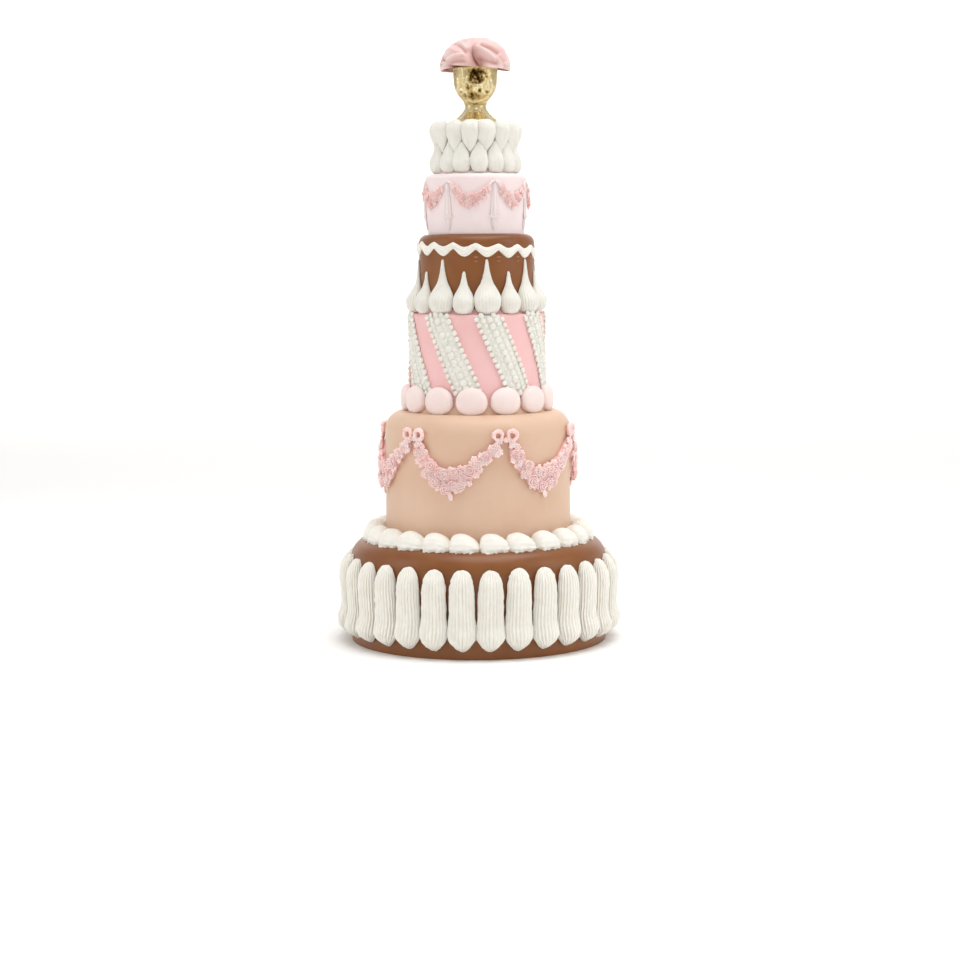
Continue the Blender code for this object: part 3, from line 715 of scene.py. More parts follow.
def makeWave(look, wall):
    count = 28
    inside, middle, halfBand = wall["radius"] - 0.4 * mm, look["footAtCrest"], look["halfBand"]
    points = [(inside, middle - halfBand)]
    for i in range(count + 1):
        t = -1 + 2 * i / count
        groove = 0.5 - 0.5 * math.cos(math.pi * (t + 1) * (look["grooves"] + 1))
        out = look["out"] * (1 - abs(t) ** 3.2) ** 0.6 - look["grooveDepth"] * (1 - groove) ** 2 * (1 - t**6)
        points.append((inside + max(out, 0.0) + 0.05 * mm, middle + t * halfBand))
    points += [(inside, middle + halfBand), points[0]]
    wave = spinProfile(points, look["steps"])
    for v in wave.data.vertices:
        angle = math.degrees(math.atan2(v.co.x, -v.co.y))
        share = (angle - look["crest"]) * look["waves"] / 360
        fall = abs(math.sin(math.pi * (share - round(share))))    # 0 at a crest and 1 at a trough
        top = look["topAtCrest"] - look["topFall"] * (0.35 * fall + 0.65 * fall**2)
        foot = look["footAtCrest"] - look["footFall"] * (0.75 * math.sqrt(fall**2 + 0.006) + 0.25 * fall**2)
        hand = 0.4 * mm * noise.noise(Vector((angle / 9, 0, 4))) + look["rise"]
        hand -= look["tilt"] * math.sin(math.radians(angle))    # the ribbon runs down a little to the right
        v.co.z = foot + (top - foot) * ((v.co.z - middle) / halfBand + 1) / 2 + hand
    roughen(wave, 1.6 * mm, 0.22 * mm, 2.0)
    return wave


def makeDots(look, wall, wave):
    dot = startSphere(10, 7)
    dots = []
    for i in range(look["crests"]):    # none show on the left of the front
        for height, size in zip(look["heights"], (1, 0.82)):
            place = wallPlace(wall, wave["crest"] + 360 / wave["waves"] * i, height, 0.1 * mm)
            shape = Matrix.Diagonal((look["halfWide"] * size, look["halfTall"] * size, look["out"], 1))
            dots.append(placedCopy(dot, place @ shape))
    throwAway(dot)
    return cleanUp(joinUp(dots))


finishPiece("waveTrim", makeWave(waveLook, upperWall), "royalIcingPaintedLighter", "royal_icing", "wave_trim")
# the dots are painted lighter than the tier, as a highlight
finishPiece("chocolateDots", makeDots(dotLook, upperWall, waveLook), "paintedHighlightChocolate", "chocolate_fondant")


lowerTopLook = {
    "ribs": 16, "ribDepth": 0.02, "grooveShade": 0.02, "steps": 22, "seat": 0.36, "ragged": 0.014,
    "tornSize": 6 * mm, "tornDepth": 0.8 * mm,
    "stations": [(0.3, 4.0, 3.4), (1.8, 6.4, 6.0), (4.6, 8.2, 8.0), (9, 9.6, 9.0), (13.5, 9.5, 8.4),
                 (18, 8.3, 6.6), (23, 6.2, 4.8), (27.5, 3.5, 3.6), (31, 1.2, 1.8)],
}
upperTopLook = {
    **lowerTopLook,
    "stations": [(20.8, 1.2, 1.8), (24, 3.2, 3.4), (28.5, 5.8, 4.8), (33.5, 8.1, 6.8), (38.5, 9.4, 8.4),
                 (43.5, 9.6, 8.9), (48, 8.5, 7.6), (50.6, 6.0, 5.2), (52, 2.8, 2.2)],
}
topWall = {**walls["whiteTier"], "shoulder": 0.0, "height": 53 * mm}
finishPiece("blushSeam", makeSeam(walls["whiteTier"], 4 * mm), "blushFondant", "blush_fondant")
for name, node, look, start in (("lowerTopDrops", "lower_top_drops", lowerTopLook, 3.9),
                                ("upperTopDrops", "upper_top_drops", upperTopLook, -8.6)):
    finishPiece(name, ringOfDrops([look], topWall, 15, start, 1.2, 4), "smoothIcingPaintedDarker", "royal_icing", node)


flowerLook = {"rose": 5.8 * mm, "roseTurns": 2.6, "rosePetals": 5, "roseTall": 3.6 * mm, "roseWall": 0.8 * mm,
              "blossom": 3.7 * mm, "leafLong": 8.0 * mm, "leafWide": 5.0 * mm}


def makeRose(look):    # one wall wound into a spiral, higher at its heart, notched into petals
    steps = 56
    route = []
    for i in range(steps + 1):
        share = i / steps
        angle = 2 * math.pi * look["roseTurns"] * share
        radius = 0.5 * mm + (look["rose"] - 0.9 * mm) * share**0.85
        radius *= 1 + 0.09 * math.cos(look["rosePetals"] * angle * 0.5)
        route.append((radius * math.cos(angle), radius * math.sin(angle), 0))
    rose = drawChain(route)
    for rise, spread in ((0.55, 1.10), (0.45, 1.07)):
        extrudeOn((0, 0, rise * look["roseTall"]), (spread, spread, 1))
    pick(rose)
    for v in rose.data.vertices:
        reach = math.hypot(v.co.x, v.co.y) / look["rose"]
        v.co.z *= 1.15 - 0.5 * reach + 0.10 * math.cos(look["rosePetals"] * math.atan2(v.co.y, v.co.x))
    thicken(rose, look["roseWall"], 0)
    cushion = startSphere(16, 8)
    cushion.data.transform(Matrix.Diagonal((look["rose"] * 0.95, look["rose"] * 0.95, 1.7 * mm, 1)))
    rose = cleanUp(joinUp([rose, cushion]))
    tints = [min(0.25, 0.26 * v.co.z / mm - 0.72) for v in rose.data.vertices]    # painted shade: darker lower down, between its petals
    setNumbers(rose, "tint", tints)
    return rose


def makeBlossom(look):    # a flat five-petal flower, raised ring by ring to a bead in its heart
    blossom = startPiece(bpy.ops.mesh.primitive_circle_add, (0, 0, -0.8 * mm), vertices=15,
                         radius=look["blossom"])
    bpy.ops.object.transform_apply(location=True, rotation=False, scale=False)
    editAll(blossom)
    bpy.ops.mesh.edge_face_add()
    for rise, shrink in ((1.5, 1.0), (0.5, 0.72), (-0.7, 0.5), (1.0, 0.75)):
        extrudeOn((0, 0, rise * mm), (shrink, shrink, 1))
    pick(blossom)
    for v in blossom.data.vertices:
        reach = math.hypot(v.co.x, v.co.y) / look["blossom"]
        petal = abs(math.cos(2.5 * math.atan2(v.co.y, v.co.x)))
        v.co.x *= 1 - 0.42 * (1 - petal**0.7) * reach
        v.co.y *= 1 - 0.42 * (1 - petal**0.7) * reach
        v.co.z += 0.9 * mm * (petal - 0.6) * (reach > 0.6) * (v.co.z > 0)
    cleanUp(blossom, smoothAngle=35)
    # painted shade: darker the lower it lies, in its eye and most under its rim
    tints = [0.3 * (v.co.z / mm - 1.0) - 0.25 * (v.co.z < 0) for v in blossom.data.vertices]
    setNumbers(blossom, "tint", tints)
    return blossom


def makeLeaf(look):    # a plump pointed leaf with a sunk midrib, its foot at the origin, lying along +X
    leaf = startPlate(7, 4, 0.35)
    for v in leaf.data.vertices:
        share = (v.co.x + 1) / 2
        width = math.sin(math.pi * min(share * 0.86 + 0.1, 1)) ** 0.8 * look["leafWide"] / 2
        height = 0.6 * mm + 0.9 * mm * abs(v.co.y) + 1.4 * mm * share * (1 - share) + v.co.z * 3.0 * mm
        v.co = Vector((share * look["leafLong"], v.co.y * width, height))
    return cleanUp(leaf)


rose, blossom, leaf = makeRose(flowerLook), makeBlossom(flowerLook), makeLeaf(flowerLook)

# each swag: share of the way to the next bow, height of its middle and width in mm; each rose: share, place
# across, size
garlandLook = {
    "bows": (16.3, 76.6, 137.2, 197.8, 258.4, 319.0), "coreOut": 5.2 * mm, "blossoms": 52, "leaves": 5,
    "scale": 1.0, "pale": 0.86, "endGap": 0.05, "longLeaf": 1.0,
    "swag": [(0.0, 207.2, 4), (0.045, 199.5, 14), (0.1, 192.5, 23.5), (0.16, 186, 27), (0.24, 178, 27.5),
             (0.32, 171.5, 28.5), (0.42, 169.5, 29), (0.52, 171.5, 28.5), (0.61, 176, 26.5),
             (0.68, 182, 21.5), (0.76, 189, 17.5), (0.86, 197, 14), (0.955, 202.5, 11), (1.0, 207.2, 4)],
    "roses": [(0.08, 0.1, 0.75), (0.14, 0.35, 0.85), (0.19, -0.5, 0.85), (0.24, 0.35, 0.9), (0.28, -0.5, 1.0),
              (0.33, 0.35, 0.85), (0.38, 0.4, 0.95), (0.39, -0.55, 0.95), (0.47, -0.4, 0.9),
              (0.48, 0.45, 0.9), (0.55, -0.55, 0.85), (0.57, 0.3, 0.9), (0.65, 0.1, 1.0), (0.72, -0.1, 0.8),
              (0.79, 0.1, 0.75), (0.86, 0.0, 0.7)],
}
smallGarlandLook = {
    "bows": (21.0, 72.3, 123.5, 174.8, 226.0, 276.6, 326.7), "coreOut": 2.3 * mm, "blossoms": 30, "leaves": 3,
    "scale": 0.56, "pale": 0.68, "endGap": 0.10, "longLeaf": 0.7,
    "swag": [(0.1, 452.6, 10), (0.19, 449.3, 14.5), (0.3, 442.8, 17), (0.42, 440, 17.6), (0.56, 440.9, 16.4),
             (0.69, 443.8, 14.4), (0.81, 448.3, 13.6), (0.9, 451.9, 10.5)],
    "roses": [(0.2, 0.1, 0.95), (0.31, -0.3, 1.0), (0.38, 0.4, 0.95), (0.47, -0.4, 1.1), (0.56, 0.3, 0.95),
              (0.66, -0.1, 1.0), (0.77, 0.1, 0.9)],
}


def swagPoint(look, wall, k, share, across, out):    # across runs from -1 at the swag's lower edge to 1
    here = look["bows"][k]
    span = (look["bows"][(k + 1) % len(look["bows"])] - here) % 360
    middle, width = readStations(look["swag"], share)
    return wallSpot(wall, here + span * share, (middle + across * width / 2) * mm, out)


def makeGarland(look, wall):
    parts = []
    room = 1 - 2 * look["endGap"]
    for k in range(len(look["bows"])):
        core = startPlate(48, 8, 0.5)
        for v in core.data.vertices:    # the paste that the flowers are set in
            share = look["endGap"] + room * (v.co.x + 1) / 2
            lump = noise.noise(Vector((v.co.x * 14, v.co.y * 3, k)))
            bulge = (1 - abs(v.co.y) ** 4) * (1 - abs(v.co.x) ** 20)
            out = look["coreOut"] * bulge * (0.8 + 0.5 * lump) if v.co.z > -0.25 else -0.3 * mm
            v.co = swagPoint(look, wall, k, share, v.co.y * (0.74 + 0.16 * lump), out)[0]
        setNumbers(core, "tint", [0.3] * len(core.data.vertices))
        parts.append(core)
        plan = []
        for i in range(look["leaves"]):    # leaves hang from the lower edge, most of them near the middle
            share = 0.42 + 0.36 * (2 * (i + 0.5) / look["leaves"] - 1) * draw.uniform(0.7, 1.0)
            plan.append((leaf, share, -0.62, 0.35, math.radians(-90 + draw.uniform(-50, 50)), 0.75))
        # the longest leaf hangs at the lowest place
        plan.append((leaf, 0.43, -0.80, 0.45, math.radians(-78), look["longLeaf"]))
        for i in range(look["blossoms"]):
            share = look["endGap"] + room * (i + draw.uniform(0.2, 0.8)) / look["blossoms"]
            across = (0.84, -0.84, 0.2, -0.84, 0.84, -0.2)[i % 6] * draw.uniform(0.6, 1.0)
            plan.append((blossom, share, across, 0.72, draw.uniform(0, 6.28), draw.uniform(0.75, 1.05)))
        for share, across, size in look["roses"]:
            share += draw.uniform(-0.012, 0.012)
            plan.append((rose, share, across, 0.85, draw.uniform(0, 6.28), size * draw.uniform(0.95, 1.05)))
        for kind, share, across, seat, spin, size in plan:
            spot, outward, sideways = swagPoint(look, wall, k, share, across, look["coreOut"] * seat)
            lean = draw.uniform(-0.25, 0.25)
            place = facingMatrix(spot, outward, sideways, spin, look["scale"] * size, lean)
            parts.append(placedCopy(kind, place, look["pale"] + draw.uniform(-0.2, 0.2)))
    return joinUp(parts)


bowLook = {
    "loop": 4.5 * mm, "thick": 1.9 * mm, "apart": 7.3 * mm, "height": 212.8 * mm, "splay": 16,
    "ruffleSize": 2.4 * mm, "ruffleDepth": 1.1 * mm,
    # the knot between the loops, and small flowers where they meet the swags: across and drop in mm, size
    "flowers": [(0, 4.0, 0.75), (-5.2, 5.2, 0.8), (5.2, 5.0, 0.8), (-8.6, 8.4, 1.0), (8.4, 8.0, 1.05),
                (-12.4, 11.6, 0.9), (12.2, 11.4, 0.95)],
}


def makeBows(look, garland, wall):
    loop = startPiece(bpy.ops.mesh.primitive_torus_add, major_segments=28, minor_segments=10,
                      major_radius=look["loop"], minor_radius=look["thick"])
    for v in loop.data.vertices:    # a ribbon's loop: a little taller than wide, narrow at the knot
        v.co.x *= 0.98 + 0.12 * v.co.y / look["loop"]
        v.co.y *= 1.06
    parts = []
    for angle in garland["bows"]:
        for side in (-1, 1):
            spin = math.radians(-look["splay"] * side)
            place = wallPlace(wall, angle, look["height"], 2.6 * mm, side * look["apart"], spin)
            size = Matrix.Scale(draw.uniform(0.95, 1.05), 4)
            parts.append(placedCopy(loop, place @ size, draw.uniform(0.5, 0.7)))
        for across, drop, size in look["flowers"]:
            height = look["height"] - drop * mm
            place = wallPlace(wall, angle, height, 3.0 * mm, across * mm, 0.3 + across, size)
            parts.append(placedCopy(blossom, place, draw.uniform(0.5, 0.8)))
    throwAway(loop)
    bows = joinUp(parts)
    roughen(bows, look["ruffleSize"], look["ruffleDepth"], 4.0)
    return bows


flowerGarland = makeGarland(garlandLook, walls["beigeTier"])
finishPiece("flowerGarland", flowerGarland, "rosePaste", "rose_sugar_paste", "flower_garland")
garlandBows = makeBows(bowLook, garlandLook, walls["beigeTier"])
finishPiece("garlandBows", garlandBows, "rosePaste", "rose_sugar_paste", "flower_garland")
smallGarlands = makeGarland(smallGarlandLook, walls["blushTier"])
finishPiece("smallGarlands", smallGarlands, "rosePaste", "rose_sugar_paste", *nodesNamed("small_garland_"))
throwAway(rose, leaf)


# each place is a height above the tier's foot
pendantLook = {
    "ribs": 5, "ribDepth": 0.26, "grooveShade": 0.22, "steps": 18, "seat": 0.2, "ragged": 0.02,
    "tornSize": 2.0 * mm, "tornDepth": 0.15 * mm,
    "stations": [(17.2, 4.0, 1.7), (19, 4.6, 2.0), (24, 4.4, 1.9), (31, 3.8, 1.8), (38, 3.0, 1.6),
                 (45, 2.2, 1.5), (49.5, 1.4, 1.2)],
}
tasselLook = {
    **pendantLook, "ribDepth": 0.2, "steps": 12,
    "stations": [(3.6, 0.7, 0.7), (6, 1.8, 1.3), (9.5, 2.8, 1.7), (12.5, 3.1, 1.8), (15.2, 2.4, 1.7)],
}
pendantBow = {
    # its two ribbons fall from the knot to the garland's ends: across and height in mm
    "ribbon": [(0.4, 458.6), (2.8, 457.6), (5.4, 455.0), (7.2, 451.2)], "wide": 1.0 * mm,
    # flattened flowers tie it: their height above the foot, and each one's place across in mm and its size
    "tie": 17.0 * mm, "tieFlowers": [(0, 1.12), (-3.6, 0.8), (3.6, 0.8)], "squash": (0.75, 0.62, 0.62, 1),
}


def makePendants(look, tassel, bow, angles, wall):
    drop = layOnWall(pipeBead(look, 3), wall)
    tail = layOnWall(pipeBead(tassel, 4), wall)
    parts = []
    for angle in angles:
        parts += [placedCopy(drop, turn(angle)), placedCopy(tail, turn(angle))]
        for side in (-1, 1):
            spots = []
            for across, height in bow["ribbon"]:
                spot, outward, sideways = wallSpot(wall, angle, height * mm, 0.5 * mm)
                spots.append(spot + sideways * (side * across * mm))
            parts.append(makeRibbon(spots, outward, bow["wide"]))
        for across, size in bow["tieFlowers"]:
            height = wall["foot"] + bow["tie"]
            place = wallPlace(wall, angle, height, 1.3 * mm, across * mm, 0.2 * across, size)
            parts.append(placedCopy(blossom, place @ Matrix.Diagonal(bow["squash"])))
    throwAway(drop, tail)
    return cleanUp(joinUp(parts))


def makeRibbon(spots, outward, wide):    # a thin flattened cord of icing through the given places on a wall
    ribbon = startPiece(bpy.ops.mesh.primitive_circle_add, vertices=8, radius=wide)
    editAll(ribbon)
    bpy.ops.mesh.edge_face_add()
    for _ in spots[1:]:
        extrudeOn((0, 0, mm))
    pick(ribbon)
    for v in ribbon.data.vertices:
        k = round(v.co.z / mm)
        ahead = (spots[min(k + 1, len(spots) - 1)] - spots[max(k - 1, 0)]).normalized()
        v.co = spots[k] + outward * v.co.x + ahead.cross(outward) * v.co.y * 1.3
    ribbon.data.update()
    return cleanUp(ribbon)


pendants = makePendants(pendantLook, tasselLook, pendantBow, smallGarlandLook["bows"], walls["blushTier"])
throwAway(blossom)
finishPiece("pendants", pendants, "pendantIcing", "royal_icing", *nodesNamed("pendant_"))


def awayFromEdge(x, y, startX, startY, endX, endY):
    runX, runY = endX - startX, endY - startY
    t = clamp(((x - startX) * runX + (y - startY) * runY) / (runX**2 + runY**2))
    return math.hypot(x - startX - t * runX, y - startY - t * runY)


def relief(marks, across, up):    # raised lines: each has a height, a width and a path over the surface
    total = 0.0
    for height, width, path in marks:
        nearest = min(awayFromEdge(across, up, *here, *there) for here, there in zip(path, path[1:]))
        total += height * math.exp(-((nearest / width) ** 2))
    return total


cupLook = {    # all in mm
    # radius and height above its foot
    "profile": [(0, 0), (23.4, 0), (24.0, 0.9), (23.6, 2.2), (21.5, 4.6), (18.0, 7.2), (14.3, 10.8),
                (11.6, 14.4), (10.3, 17.4), (10.6, 18.6), (11.4, 19.6), (11.5, 21.0), (11.6, 21.8),
                (14.0, 24.8), (17.3, 28.6), (20.0, 33.4), (21.3, 38.6), (21.9, 45.0), (22.2, 51.0),
                (22.3, 53.6), (22.9, 54.4), (22.9, 55.6), (22.2, 56.0), (0, 56.0)],
    "leaves": 10, "leafTop": 17, "leafDepth": 1.3, "gadroons": 14, "gadroonDepth": 0.4, "reliefStep": 0.8,
    # cast scrolls and leaves of the front and the back, across and height above the foot; the first is a
    # raised streak that is also coloured lighter as a painted highlight
    "marks": [(0.7, 1.3, [(-12.6, 53), (-12, 45)]),
              (1.3, 0.9, [(3, 37.5), (6, 36.2), (7.6, 33), (6.8, 30), (4, 28.4)]),
              (1.0, 0.8, [(-1, 35.2), (1.4, 35.8), (2.3, 33), (1, 30.4), (-1.2, 31.4), (-1, 35.2)]),
              (1.0, 0.8, [(-15.5, 33.4), (-12.4, 32.2), (-9.6, 34.4), (-7, 32)]),
              (0.9, 0.9, [(-13.4, 29), (-10, 31), (-8, 28), (-7.6, 23)]),
              (0.8, 1.0, [(9, 28), (12.2, 33), (13.6, 38), (12, 43)]),
              (0.6, 0.9, [(16, 42), (17.6, 36), (15, 31)]),
              (1.0, 1.1, [(-8, 22.6), (0, 20.8), (7, 22.6), (12, 26)]),
              (0.7, 0.9, [(-18, 44), (-17, 37), (-18.5, 33)]),
              (0.8, 0.9, [(-7, 47), (-8.6, 42), (-6, 38.4), (0, 37.6), (7, 38.8), (9.8, 43), (8.8, 48)]),
              (0.7, 0.7, [(-4, 40), (-1, 43), (-0.5, 47.5)]), (0.7, 0.7, [(1, 39.6), (4, 42.6), (5.8, 47)])],
    # places sunk in and coloured dark: across, height, half width, half height, how dark
    "hollows": [(1.2, 46.5, 9.4, 8.2, 0.95), (-6.4, 35, 3.4, 5, 0.4), (-3.5, 27, 6.5, 4, 0.45),
                (3.8, 31.6, 1.9, 2.2, 0.55), (11.4, 31, 2.0, 1.5, 0.7), (-14.4, 31, 1.2, 1.1, 0.5),
                (1, 19.6, 12, 1.6, 0.35), (-20, 40, 2.2, 14, 0.2)],
    "leafSize": 2.3,    # of the small cast leaves that break up the dark hollows
}


def cupRelief(look, angle, up, reach):    # how far the casting stands out in mm, and how dark it is
    out, dark = 0.0, 0.22
    if up < look["leafTop"]:    # leaves on the flaring foot
        share = abs(math.cos(math.radians(angle) * look["leaves"] / 2))
        fade = min(1, (look["leafTop"] - up) / 5) * min(1, up / 1.5)
        out -= look["leafDepth"] * (1 - share) ** 0.9 * fade * 0.6
        dark += (0.36 * (1 - share) ** 3 - 0.36) * fade
    bowl = math.exp(-(((up - 27) / 4.5) ** 2))
    flute = abs(math.cos(math.radians(angle) * look["gadroons"] / 2))
    side = (angle + 90) % 180 - 90    # the same scrolls are cast on the front and the back
    across = math.sin(math.radians(side)) * reach
    hollow = 0.0
    for middle, level, halfWide, halfTall, depth in look["hollows"]:
        away = ((across - middle) / halfWide) ** 2 + ((up - level) / halfTall) ** 2
        hollow = max(hollow, depth * math.exp(-away**2))
    raised = relief(look["marks"], across, up)
    leafy = noise.noise(Vector((across, up, 4)) / look["leafSize"])
    out += look["gadroonDepth"] * bowl * (flute - 0.6) + raised - hollow + 0.9 * hollow * leafy
    # raised lines are coloured lighter: rubbed gilt, and on the first mark a painted highlight
    dark += 0.25 * bowl * (1 - flute) + 0.9 * hollow * (0.85 - 0.9 * leafy) - 0.34 * raised
    return out, clamp(dark)


def makeCup(look, foot):
    keys = [(radius * mm, foot + height * mm) for radius, height in look["profile"]]
    points = [keys[0]]
    for here, there in zip(keys, keys[1:]):    # fine enough along the wall to carry the relief
        onWall = min(here[0], there[0]) > 9 * mm
        pieces = max(1, round(math.dist(here, there) / (look["reliefStep"] * mm))) if onWall else 2
        for i in range(1, pieces + 1):
            points.append([a + (b - a) * (i / pieces) for a, b in zip(here, there)])
    cup = spinProfile(points, 200)
    rounding = cup.modifiers.new("rounding", "SMOOTH")
    rounding.factor, rounding.iterations = 0.5, 3
    applyModifiers(cup)
    tints = []
    for v in cup.data.vertices:
        reach, up = math.hypot(v.co.x, v.co.y) / mm, (v.co.z - foot) / mm
        angle = math.degrees(math.atan2(v.co.x, -v.co.y))
        out, dark = cupRelief(look, angle, up, reach) if reach > 8 and up < 54 else (0.0, 0.35)
        if reach > 0:
            v.co.x *= 1 + out / reach
            v.co.y *= 1 + out / reach
        tints.append(dark)
    setNumbers(cup, "tint", tints)
    cup.data.update()
    return cup


cupLow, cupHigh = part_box("gilt_cup")
finishPiece("giltCup", makeCup(cupLook, cupLow.z), "antiquedGilt", "gilt", "gilt_cup")


# four big petals make a dome over the cup's rim, and a lower one shows at each side
bloomLook = {
    # the dome from its crown to its lip: radius, height above the cup's rim
    "dome": [(0.2, 27.8), (9.4, 27.4), (17.4, 24.2), (24, 20.0), (28.8, 14.6), (32.2, 8.4), (34.0, 1.8),
             (33.2, -4.2)],
    "thick": 0.9 * mm, "inner": (0.74, 0.84), "turns": (0, 180),
    # each petal: degrees of its left and right edge down the dome, how far down it reaches at each edge,
    # how deep and over what width those edges dip, its lift off the dome at the crown and at the lip, and
    # its folds as height, width and path seen from its front
    "petals": [
        {"left": [8, -2, -4, -2, 8], "right": [98, 98, 98, 98, 98], "reach": (0.93, 1.0), "lift": (0.4, 0.9),
         "dip": ((4.2, 5.6), (3, 3.4)),
         "folds": [(2.6, 1.2, [(1, 20.5), (5, 18), (11, 13.5), (19, 7.5)]),
                   (-2.4, 2.0, [(7, 21.5), (14, 18), (22, 13)]),
                   (1.3, 1.6, [(12, 26.5), (20, 22), (27, 15.5)]), (-1.8, 2.2, [(6, 8), (13, 5), (20, 3.4)]),
                   (1.0, 1.6, [(9, 0.5), (20, -0.5), (30, 3)]), (-0.9, 1.2, [(24, 9), (27, 5), (27, 1)]),
                   (0.8, 1.1, [(29.5, 11), (30.5, 6), (29, 2)])]},
        {"left": [-102, -102, -102, -102, -102], "right": [4, 3, 4, 7, 14], "reach": (0.80, 0.97),
         "lift": (0, -0.4), "dip": ((3, 3.4), (6.8, 11.5)),
         "folds": [(1.7, 1.3, [(-27, 7), (-21, 11), (-12, 12.6)]),
                   (1.2, 1.5, [(-20, 27), (-14, 24), (-9, 20)]),
                   (-1.4, 1.7, [(-22, 24), (-15, 20), (-10, 15)]),
                   (-1.6, 2.0, [(-26, 3), (-19, 5.5), (-12, 5)]),
                   (0.9, 1.4, [(-26, 19), (-19, 16)]), (-2.4, 1.7, [(-38, 9.5), (-31, 7)])]},
        {"left": [-104, -104, -104, -106, -108], "right": [-44, -44, -44, -46, -50], "reach": (0.985, 0.95),
         "lift": (-2.4, -1.2), "dip": ((3, 3.4), (3, 3.4)),
         "folds": [(1.6, 1.4, [(-31, 1), (-27, 6)]), (-1.2, 1.4, [(-25, 3), (-27, 0)]),
                   (1.5, 2.0, [(-36, 0), (-31, -2)]), (-3.0, 1.6, [(-38, 9.0), (-31, 6.5)])]}],
}


def smoothKeys(values, place):    # a soft curve through evenly spaced values, read at a place from 0 to 1
    last = len(values) - 1
    k = min(int(place * last), last - 1)
    slopeA = (values[k + 1] - values[max(k - 1, 0)]) / 2
    slopeB = (values[min(k + 2, last)] - values[k]) / 2
    return hermite(place * last - k, values[k], values[k + 1], slopeA, slopeB)


def domeAt(dome, place):    # radius and level at a place down the dome, and which way its surface faces
    (reach, outAfter, outBefore), (level, upAfter, upBefore) = (
        [smoothKeys(keys, spot) for spot in (place, min(place + 0.02, 1.0), max(place - 0.02, 0.0))]
        for keys in zip(*dome))
    runOut, runUp = outAfter - outBefore, upAfter - upBefore
    length = math.hypot(runOut, runUp)
    return reach, level, -runUp / length, runOut / length


def between(ends, share):
    return ends[0] + (ends[1] - ends[0]) * share


def makePetal(look, foot, petal):
    piece = startPiece(bpy.ops.mesh.primitive_grid_add, x_subdivisions=52, y_subdivisions=34, size=2)
    tints = []
    for v in piece.data.vertices:
        u, share = (v.co.x + 1) / 2, (1 - v.co.y) / 2
        left, right = smoothKeys(petal["left"], share), smoothKeys(petal["right"], share)
        reach, level, faceOut, faceUp = domeAt(look["dome"], share * between(petal["reach"], u))
        angle = math.radians(left + (right - left) * u)
        wide = math.radians(right - left) * reach
        dip, rolled = 0.0, 0.0
        for fromEdge, (depth, width) in zip((u * wide, (1 - u) * wide), petal["dip"]):
            # the shallow side edges tuck in right from the crown
            fade = (share - 0.22) * 2.6 if depth > 3.1 else share * 2.6
            near = math.exp(-((fromEdge / width) ** 2)) * clamp(fade)
            dip += depth * near
            rolled += near * min(1.0, (depth / 4) ** 2)
        fold = 0.0
        if math.cos(angle) > -0.3:
            fold = relief(petal["folds"], math.sin(angle) * reach, level + 0.08 * reach * math.cos(angle))
        ripple = 0.35 * noise.noise(Vector((angle * 4, share * 5, petal["lift"][1])))
        lift = between(petal["lift"], min(1.0, share * 1.6))
        push = lift + fold * min(1.0, share * 4) + ripple - dip
        level = min(level + faceUp * push, 28.0)
        reach = max(reach + faceOut * push, 0.1)
        v.co = Vector((math.sin(angle) * reach * mm, -math.cos(angle) * reach * mm, foot + level * mm))
        # painted light: the tint is lighter on raised folds, bulges and the lip as highlight, and darker as
        # shade where edges roll in towards the crease
        lipHighlight = max(0.0, share - 0.93) / 0.07 * (1 - rolled)
        tints.append(clamp(0.54 + 0.19 * fold - (0.12 + 0.6 * share) * rolled + 0.2 * lipHighlight + 0.2 * ripple))
    setNumbers(piece, "tint", tints)
    return cleanUp(thicken(piece, look["thick"], 0), smoothAngle=60)


def makeBloom(look, foot):
    narrow, low = look["inner"]
    inner = [(reach * narrow, max(level * low, 0.2)) for reach, level in reversed(look["dome"])]
    inner = [(0, 0.2)] + inner + [(0, inner[-1][1])]
    cushion = spinProfile([(reach * mm, foot + level * mm) for reach, level in inner], 48)
    # painted shade: the cushion under the petals takes the darkest stop, the throat's
    setNumbers(cushion, "tint", [0.0] * len(cushion.data.vertices))
    parts = [cushion]
    for petal in look["petals"]:
        piece = makePetal(look, foot, petal)
        parts += [placedCopy(piece, turn(angle)) for angle in look["turns"]]
        throwAway(piece)
    return joinUp(parts)


bloom = makeBloom(bloomLook, cupHigh.z + 0.1 * mm)
finishPiece("sugarBloom", bloom, "satinSugar", "satin_sugar", "sugar_bloom")
print("all pieces made")


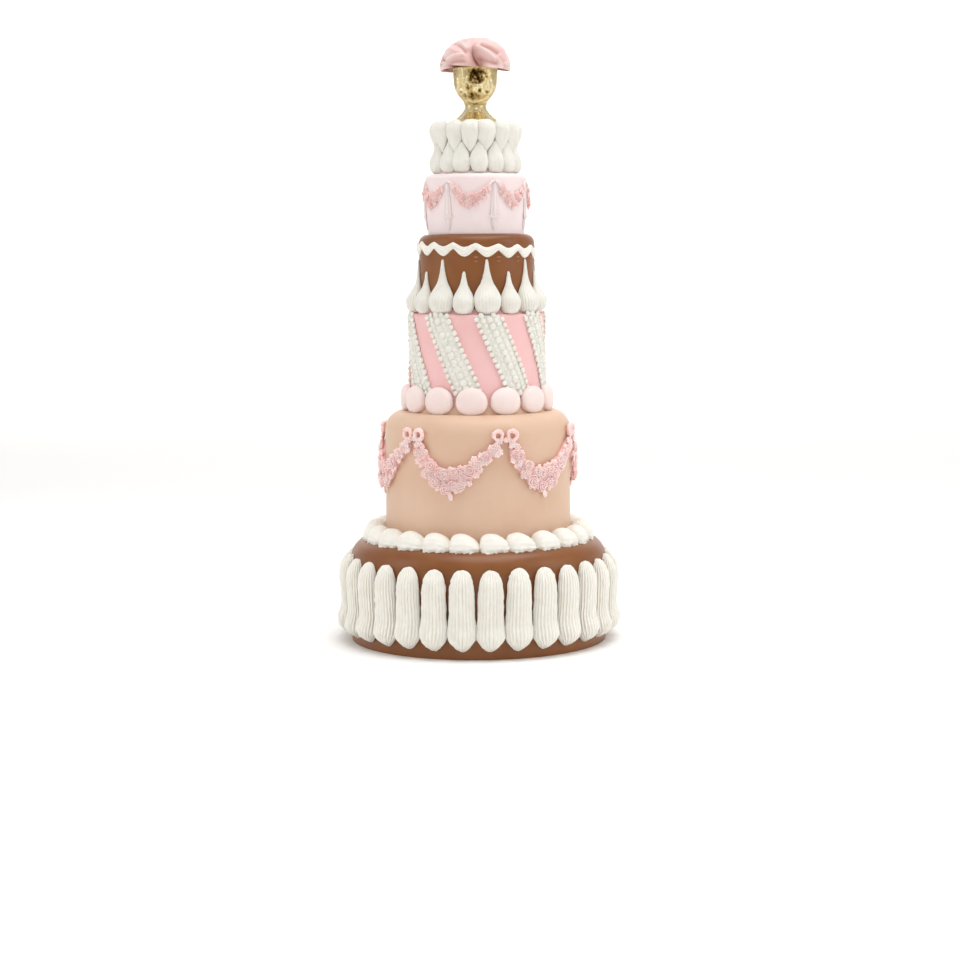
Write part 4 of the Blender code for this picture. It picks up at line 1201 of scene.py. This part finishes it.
def setTheStage():
    floor = startPiece(bpy.ops.mesh.primitive_plane_add, (0, 3, 0), size=12)
    floor.name = "paleFloor"
    editAll(floor)
    bpy.ops.mesh.select_all(action="DESELECT")
    bpy.ops.object.mode_set(mode="OBJECT")
    for edge in floor.data.edges:    # the far edge goes up as a backdrop
        edge.select = min(floor.data.vertices[i].co.y for i in edge.vertices) > 5.9
    bpy.ops.object.mode_set(mode="EDIT")
    bpy.ops.mesh.select_mode(type="EDGE")
    extrudeOn((0, 0, 6))
    bpy.ops.object.mode_set(mode="OBJECT")
    bend = floor.modifiers.new("cove", "BEVEL")
    bend.width, bend.segments, bend.limit_method = 2.0, 16, "ANGLE"
    applyModifiers(floor)
    bpy.ops.object.shade_smooth_by_angle(angle=math.radians(60))
    paper = newMaterial("palePaper")
    shader = addNode(paper, "BsdfPrincipled", {"Base Color": hexColour("#fbfaf8"), "Roughness": 0.9})
    addNode(paper, "OutputMaterial", links={"Surface": shader})
    floor.data.materials.append(paper)


def addSoftLight(name, place, aim, size, power):
    light = startPiece(bpy.ops.object.light_add, place, type="AREA")
    light.name = name
    light.data.shape = "RECTANGLE"
    light.data.size, light.data.size_y = size
    light.data.energy = power
    light.rotation_euler = (Vector(aim) - Vector(place)).to_track_quat("-Z", "Y").to_euler()


cameraLook = {"lens": 79.0, "distance": 2.12, "height": 0.3992, "pitch": 6.445, "roll": 0.375,
              "aside": 0.0036}


def setTheCamera(look):
    camera = startPiece(bpy.ops.object.camera_add, (look["aside"], -look["distance"], look["height"]))
    camera.rotation_euler = (math.radians(90 - look["pitch"]), math.radians(look["roll"]), 0)
    camera.data.lens = look["lens"]
    camera.data.sensor_width = 36
    bpy.context.scene.camera = camera


def lightTheWorld():
    world = bpy.data.worlds.new("studioWhite")
    world.use_nodes = True
    background = world.node_tree.nodes["Background"]
    background.inputs["Color"].default_value = hexColour("#ffffff")
    background.inputs["Strength"].default_value = 0.635
    bpy.context.scene.world = world
    bpy.context.scene.view_settings.view_transform = "Standard"


setTheStage()
addSoftLight("overheadBox", (0.25, -0.1, 2.4), (0, 0, 0.25), (2.0, 1.6), 35)
addSoftLight("leftBox", (-2.2, -0.6, 1.2), (0, 0, 0.3), (1.0, 1.8), 8)
addSoftLight("rightBox", (2.2, -0.8, 1.2), (0, 0, 0.3), (1.0, 1.8), 10)
addSoftLight("backdropWash", (0, 4.0, 4.5), (0, 9, 1.5), (7, 1.5), 330)
setTheCamera(cameraLook)
lightTheWorld()
print("stage set")
